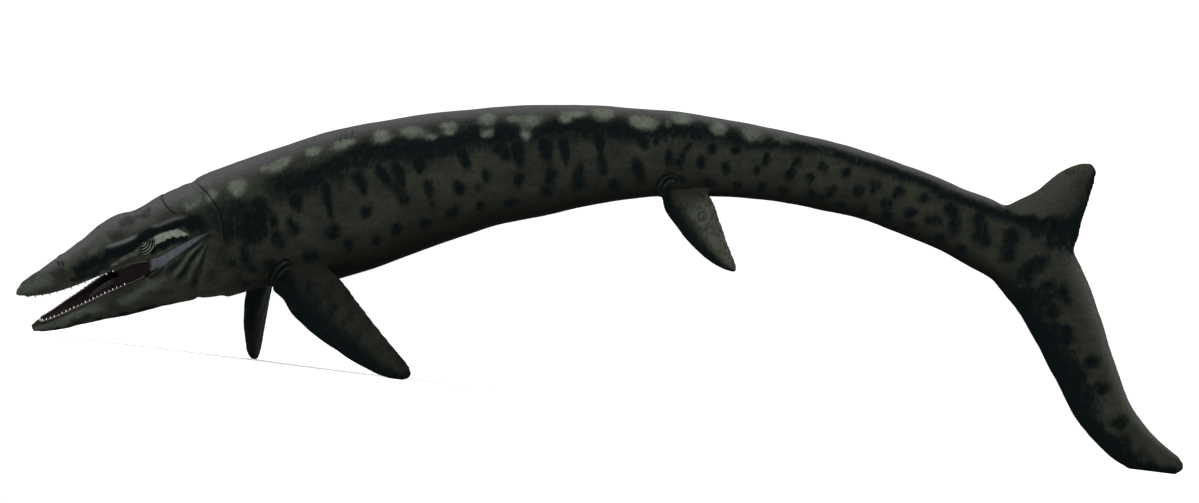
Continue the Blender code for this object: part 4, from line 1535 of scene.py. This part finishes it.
GAP = 0.3 * MM
GUM_WIDTH = 1.5 * MM
GUM_HEIGHT = 0.9 * MM
GUM_FROM_LIP = 1.7 * MM
GUM_SQUARENESS = 0.75
ARCH_STEPS = 40
ARCH_TIP_STEPS = 24
UPPER_TOOTH_LENGTH = 1.8 * MM
LOWER_TOOTH_LENGTH = 1.45 * MM
DARK_FRONT_TEETH_TO = 35 * MM


def arch(form, hang, start, front, end):
    """A gum line from the right corner of the mouth round the tip to the left one, with upward directions."""
    sides = start + (end - start) * np.arange(1, ARCH_STEPS + 1) / ARCH_STEPS
    turns = math.pi * np.arange(ARCH_TIP_STEPS + 1) / ARCH_TIP_STEPS
    reach = form.rows(np.array(start))[4] - GUM_FROM_LIP
    inner = form.rows(sides)[:, 4] - GUM_FROM_LIP
    distances = np.concatenate([sides[::-1], start - front * np.sin(turns), sides])
    across = np.concatenate([inner[::-1], reach * np.cos(turns), -inner])
    rows = form.rows(distances)
    centre, up, side = form.frames(distances)
    depth = rows[:, 3] if hang < 0 else rows[:, 2]
    surface = np.full(len(distances), -np.inf)
    for edge in (-GUM_WIDTH / 2, GUM_WIDTH / 2):
        share = np.clip((np.abs(across) + edge) / rows[:, 4], 0, 1)
        surface = np.maximum(surface, depth * np.sqrt(1 - share**2))
    rise = (surface + GAP + GUM_HEIGHT / 2) * hang
    return centre + side * across[:, None] + up * rise[:, None], up * hang


def evenly(places, ups, count):
    """Evenly spaced places along a line, with their upward directions."""
    steps = np.linalg.norm(np.diff(places, axis=0), axis=1)
    marks = np.concatenate([[0], np.cumsum(steps)])
    wanted = marks[-1] * (np.arange(count) + 0.5) / count
    columns = [np.interp(wanted, marks, values) for values in (*places.T, *ups.T)]
    table = np.array(columns).T
    return table[:, :3], unit(table[:, 3:])


def gum_grid(places, ups, sides=14):
    """A soft bar along the gum line, as rings."""
    ahead = unit(np.gradient(places, axis=0))
    out = unit(np.cross(ahead, ups))
    turns = np.linspace(0, math.tau, sides, endpoint=False)
    waver = 1 + 0.07 * np.sin(np.arange(len(places)) * 1.9)[:, None]
    wide, tall = (
        size / 2 * waver * np.sign(wave) * np.abs(wave) ** GUM_SQUARENESS
        for size, wave in ((GUM_WIDTH, np.cos(turns)), (GUM_HEIGHT, np.sin(turns)))
    )
    return places[:, None] + out[:, None] * wide[..., None] + ups[:, None] * tall[..., None]


def tooth_grid(foot, up, back, length, sides=12, rings=9):
    """A pointed tooth that bends back a little, as rings from its root to its tip."""
    side = np.cross(up, back)
    share = np.linspace(0, 1, rings)
    width = (0.23 * length + 0.04 * MM) * (1 - share**1.6) ** 0.8 + 0.02 * MM
    rise = length * (share * 1.12 - 0.12)
    lean = 0.22 * length * share**2
    turns = np.linspace(0, math.tau, sides, endpoint=False)
    across = side * np.cos(turns)[:, None] * 0.82 + back * np.sin(turns)[:, None]
    middle = foot + up * rise[:, None] + back * lean[:, None]
    return middle[:, None] + across[None] * width[:, None, None]


def joined(name, grids, values):
    """One mesh of several closed grids, with a smooth value over each, placed as the figure stands."""
    vertices, faces = solids(grids)
    field = []
    for grid, amounts in zip(grids, values):
        field += [np.repeat(amounts, grid.shape[1]), [amounts[0], amounts[-1]]]
    mesh = build_mesh(name, standing(vertices), faces)
    mesh.shade_smooth()
    attribute = mesh.attributes.new("part_way", "FLOAT", "POINT")
    attribute.data.foreach_set("value", np.concatenate(field).astype(np.float32))
    return link(name, mesh)


def tooth_material():
    paint = Paint("ivory_teeth_in_gums")
    way = paint.value("part_way")
    stains = paint.noise(0.9 * MM, 3, 0.6)
    ivory = paint.mottled(stains, (0.80, 0.77, 0.66), (0.62, 0.57, 0.45))
    tooth = paint.mix(paint.fade(way, 0.1, 0.42), (0.10, 0.085, 0.065), ivory)
    gums = paint.mottled(paint.noise(2.2 * MM, 4, 0.6), (0.020, 0.011, 0.013), (0.034, 0.022, 0.024))
    colour = paint.mix(paint.fade(way, -0.6, -0.4, 1.0, 0.0), tooth, gums)
    paint.bumped(paint.noise(0.35 * MM, 3, 0.6, (1, 1, 0.3)), 0.2, 0.05 * MM)
    return paint.finished(colour, paint.fade(stains, 0.3, 0.8, 0.26, 0.42), 0.4)


TOOTH_MATERIAL = tooth_material()
# Each row: the node it replaces, its form, which way the teeth point, where the gum starts, how far it bends
# forwards, where the gum and the teeth end, how many teeth there are, and their length
TOOTH_ROWS = (
    (
        "upper_teeth", body_form, -1, 5.5 * MM, 2.2 * MM,
        body_form.marks[9], 50 * MM, 26, UPPER_TOOTH_LENGTH,
    ),
    (
        "lower_teeth", jaw_form, 1, 6.0 * MM, 1.9 * MM,
        jaw_form.marks[7], 51 * MM, 46, LOWER_TOOTH_LENGTH,
    ),
)
for node, form, hang, start, front, end, tooth_end, count, length in TOOTH_ROWS:
    places, ups = arch(form, hang, start, front, end)
    grids = [gum_grid(places, ups)]
    values = [np.full(len(places), -1.0)]
    feet, tooth_ups = evenly(*arch(form, hang, start, front, tooth_end), count)
    for number, (foot, up) in enumerate(zip(feet, tooth_ups)):
        back = np.array([1.0, 0.0, 0.2])
        back = unit(back - up * back.dot(up))
        size = length * (0.86 + 0.12 * math.sin(number * 2.4) + 0.07 * math.sin(number * 5.1))
        grid = tooth_grid(foot, up, back, size)
        grids.append(grid)
        # The upper front teeth are dark nearly all over
        dark_front_tooth = hang < 0 and foot[0] < DARK_FRONT_TEETH_TO
        values.append(np.linspace(0, 0.2 if dark_front_tooth else 1, grid.shape[0]))
    row = joined(node + "_row", grids, values)
    row.data.materials.append(TOOTH_MATERIAL)
    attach(row, "root")
    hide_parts(node)


# Tongue

def tongue_grid(rings=60, sides=48):
    """The tongue with its middle groove, as rings from back to front."""
    start, end = jaw_form.marks[4], jaw_form.marks[7]
    share = np.linspace(0, 1, rings)
    distance = start + (end - start) * share
    rows = jaw_form.rows(distance)
    centre, up, side = jaw_form.frames(distance)
    tip = np.sqrt(1 - (1 - np.minimum(share * 2.2 + 0.02, 1)) ** 2)
    taper = tip * np.sqrt(1.001 - ramp(share, 0.7, 1))
    width = 0.42 * rows[:, 4] * taper
    height = 1.3 * MM * taper
    middle = centre + up * (rows[:, 2] + height + 1.5 * GAP)[:, None]
    turns = np.linspace(0, math.tau, sides, endpoint=False)
    groove = 1 - 0.22 * bump(np.cos(turns), 0.16) * (np.sin(turns) > 0)
    across = width[:, None] * np.cos(turns)
    rise = height[:, None] * np.sin(turns) * groove
    return middle[:, None] + side[:, None] * across[..., None] + up[:, None] * rise[..., None]


def tongue_material():
    paint = Paint("moist_tongue")
    patches = paint.noise(3 * MM, 4, 0.6)
    paint.bumped(paint.noise(0.5 * MM, 2, 0.5), 0.35, 0.08 * MM)
    colour = paint.mottled(patches, (0.0130, 0.0095, 0.0110), (0.0220, 0.0165, 0.0190))
    return paint.finished(colour, paint.fade(patches, 0.3, 0.8, 0.42, 0.55), 0.03)


tongue_points = tongue_grid()
tongue = joined("tongue_skin", [tongue_points], [np.linspace(0, 1, len(tongue_points))])
tongue.data.materials.append(tongue_material())
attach(tongue, "root")
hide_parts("tongue")


# Eyes

def eyeball_grid(centre, outward, rings=40, sides=48):
    """An eyeball with a slight bulge over its iris, as rings from front to back."""
    angles = np.linspace(0.02, math.pi - 0.02, rings)
    radius = EYE_RADIUS * (0.97 + 0.06 * bump(angles, 0.42))
    across = unit(np.cross(outward, [0, 0, 1.0]))
    upward = np.cross(outward, across)
    turns = np.linspace(0, math.tau, sides, endpoint=False)
    ring = across * np.cos(turns)[:, None] + upward * np.sin(turns)[:, None]
    front = outward * (radius * np.cos(angles))[:, None]
    return centre + front[:, None] + ring[None] * (radius * np.sin(angles))[:, None, None], angles


def eye_material():
    paint = Paint("glossy_eye")
    way = paint.value("part_way")
    rays = paint.noise(0.3 * MM, 3, 0.6)
    iris = paint.mottled(rays, (0.012, 0.010, 0.006), (0.030, 0.024, 0.014))
    colour = paint.mix(paint.fade(way, 0.16, 0.20), (0.002, 0.002, 0.002), iris)
    colour = paint.mix(paint.fade(way, 0.46, 0.56), colour, (0.012, 0.010, 0.009))
    return paint.finished(colour, paint.fade(rays, 0.3, 0.8, 0.12, 0.2), 0.12)


EYE_MATERIAL = eye_material()
for node, eye in zip(("eye_left", "eye_right"), EYES):
    centre = np.array(eye)
    grid, angles = eyeball_grid(centre, unit(centre - EYES_BETWEEN))
    ball = joined(node + "_ball", [grid], [angles])
    ball.data.materials.append(EYE_MATERIAL)
    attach(ball, "root")
    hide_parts(node)


# Floor, light and camera

FLOOR_HALF = 200.0
corners = [(-FLOOR_HALF, -FLOOR_HALF, 0), (FLOOR_HALF, -FLOOR_HALF, 0)]
corners += [(FLOOR_HALF, FLOOR_HALF, 0), (-FLOOR_HALF, FLOOR_HALF, 0)]
floor = link("floor", build_mesh("floor", np.array(corners), [(0, 1, 2, 3)]))
floor.data.materials.append(Paint("pale_floor").finished((0.9, 0.9, 0.9), 1.0, 0.0))

world = bpy.data.worlds.new("world")
world.use_nodes = True
background = world.node_tree.nodes["Background"]
background.inputs["Color"].default_value = (1, 1, 1, 1)
background.inputs["Strength"].default_value = 1.14
bpy.context.scene.world = world

LAMP_PLACE = Vector((-0.15, -0.45, 1.6))
LAMP_AIM = Vector((0, 0, 0.08))
lamp_data = bpy.data.lights.new("key", "AREA")
lamp_data.shape = "RECTANGLE"
lamp_data.size, lamp_data.size_y = 1.6, 0.8
lamp_data.energy = 22.0
lamp = link("key", lamp_data)
lamp.location = LAMP_PLACE
lamp.rotation_euler = (LAMP_AIM - LAMP_PLACE).to_track_quat("-Z", "Y").to_euler()
lamp.visible_camera = False

CAMERA_DISTANCE = 8.0
SENSOR = 36
middle_x = (PHOTO_WIDE / 2 - ORIGIN_PIXEL[0]) * PIXEL
middle_z = (ORIGIN_PIXEL[1] - PHOTO_TALL / 2) * PIXEL
camera_data = bpy.data.cameras.new("camera")
camera_data.sensor_width = SENSOR
camera_data.lens = SENSOR * CAMERA_DISTANCE / (PHOTO_WIDE * PIXEL)
camera_data.clip_end = 2 * FLOOR_HALF
camera = link("camera", camera_data)
camera_place = Matrix.Translation((middle_x, -CAMERA_DISTANCE, middle_z))
camera.matrix_world = stand @ camera_place @ Matrix.Rotation(math.radians(90), 4, "X")
bpy.context.scene.camera = camera
bpy.context.scene.view_settings.view_transform = "Standard"
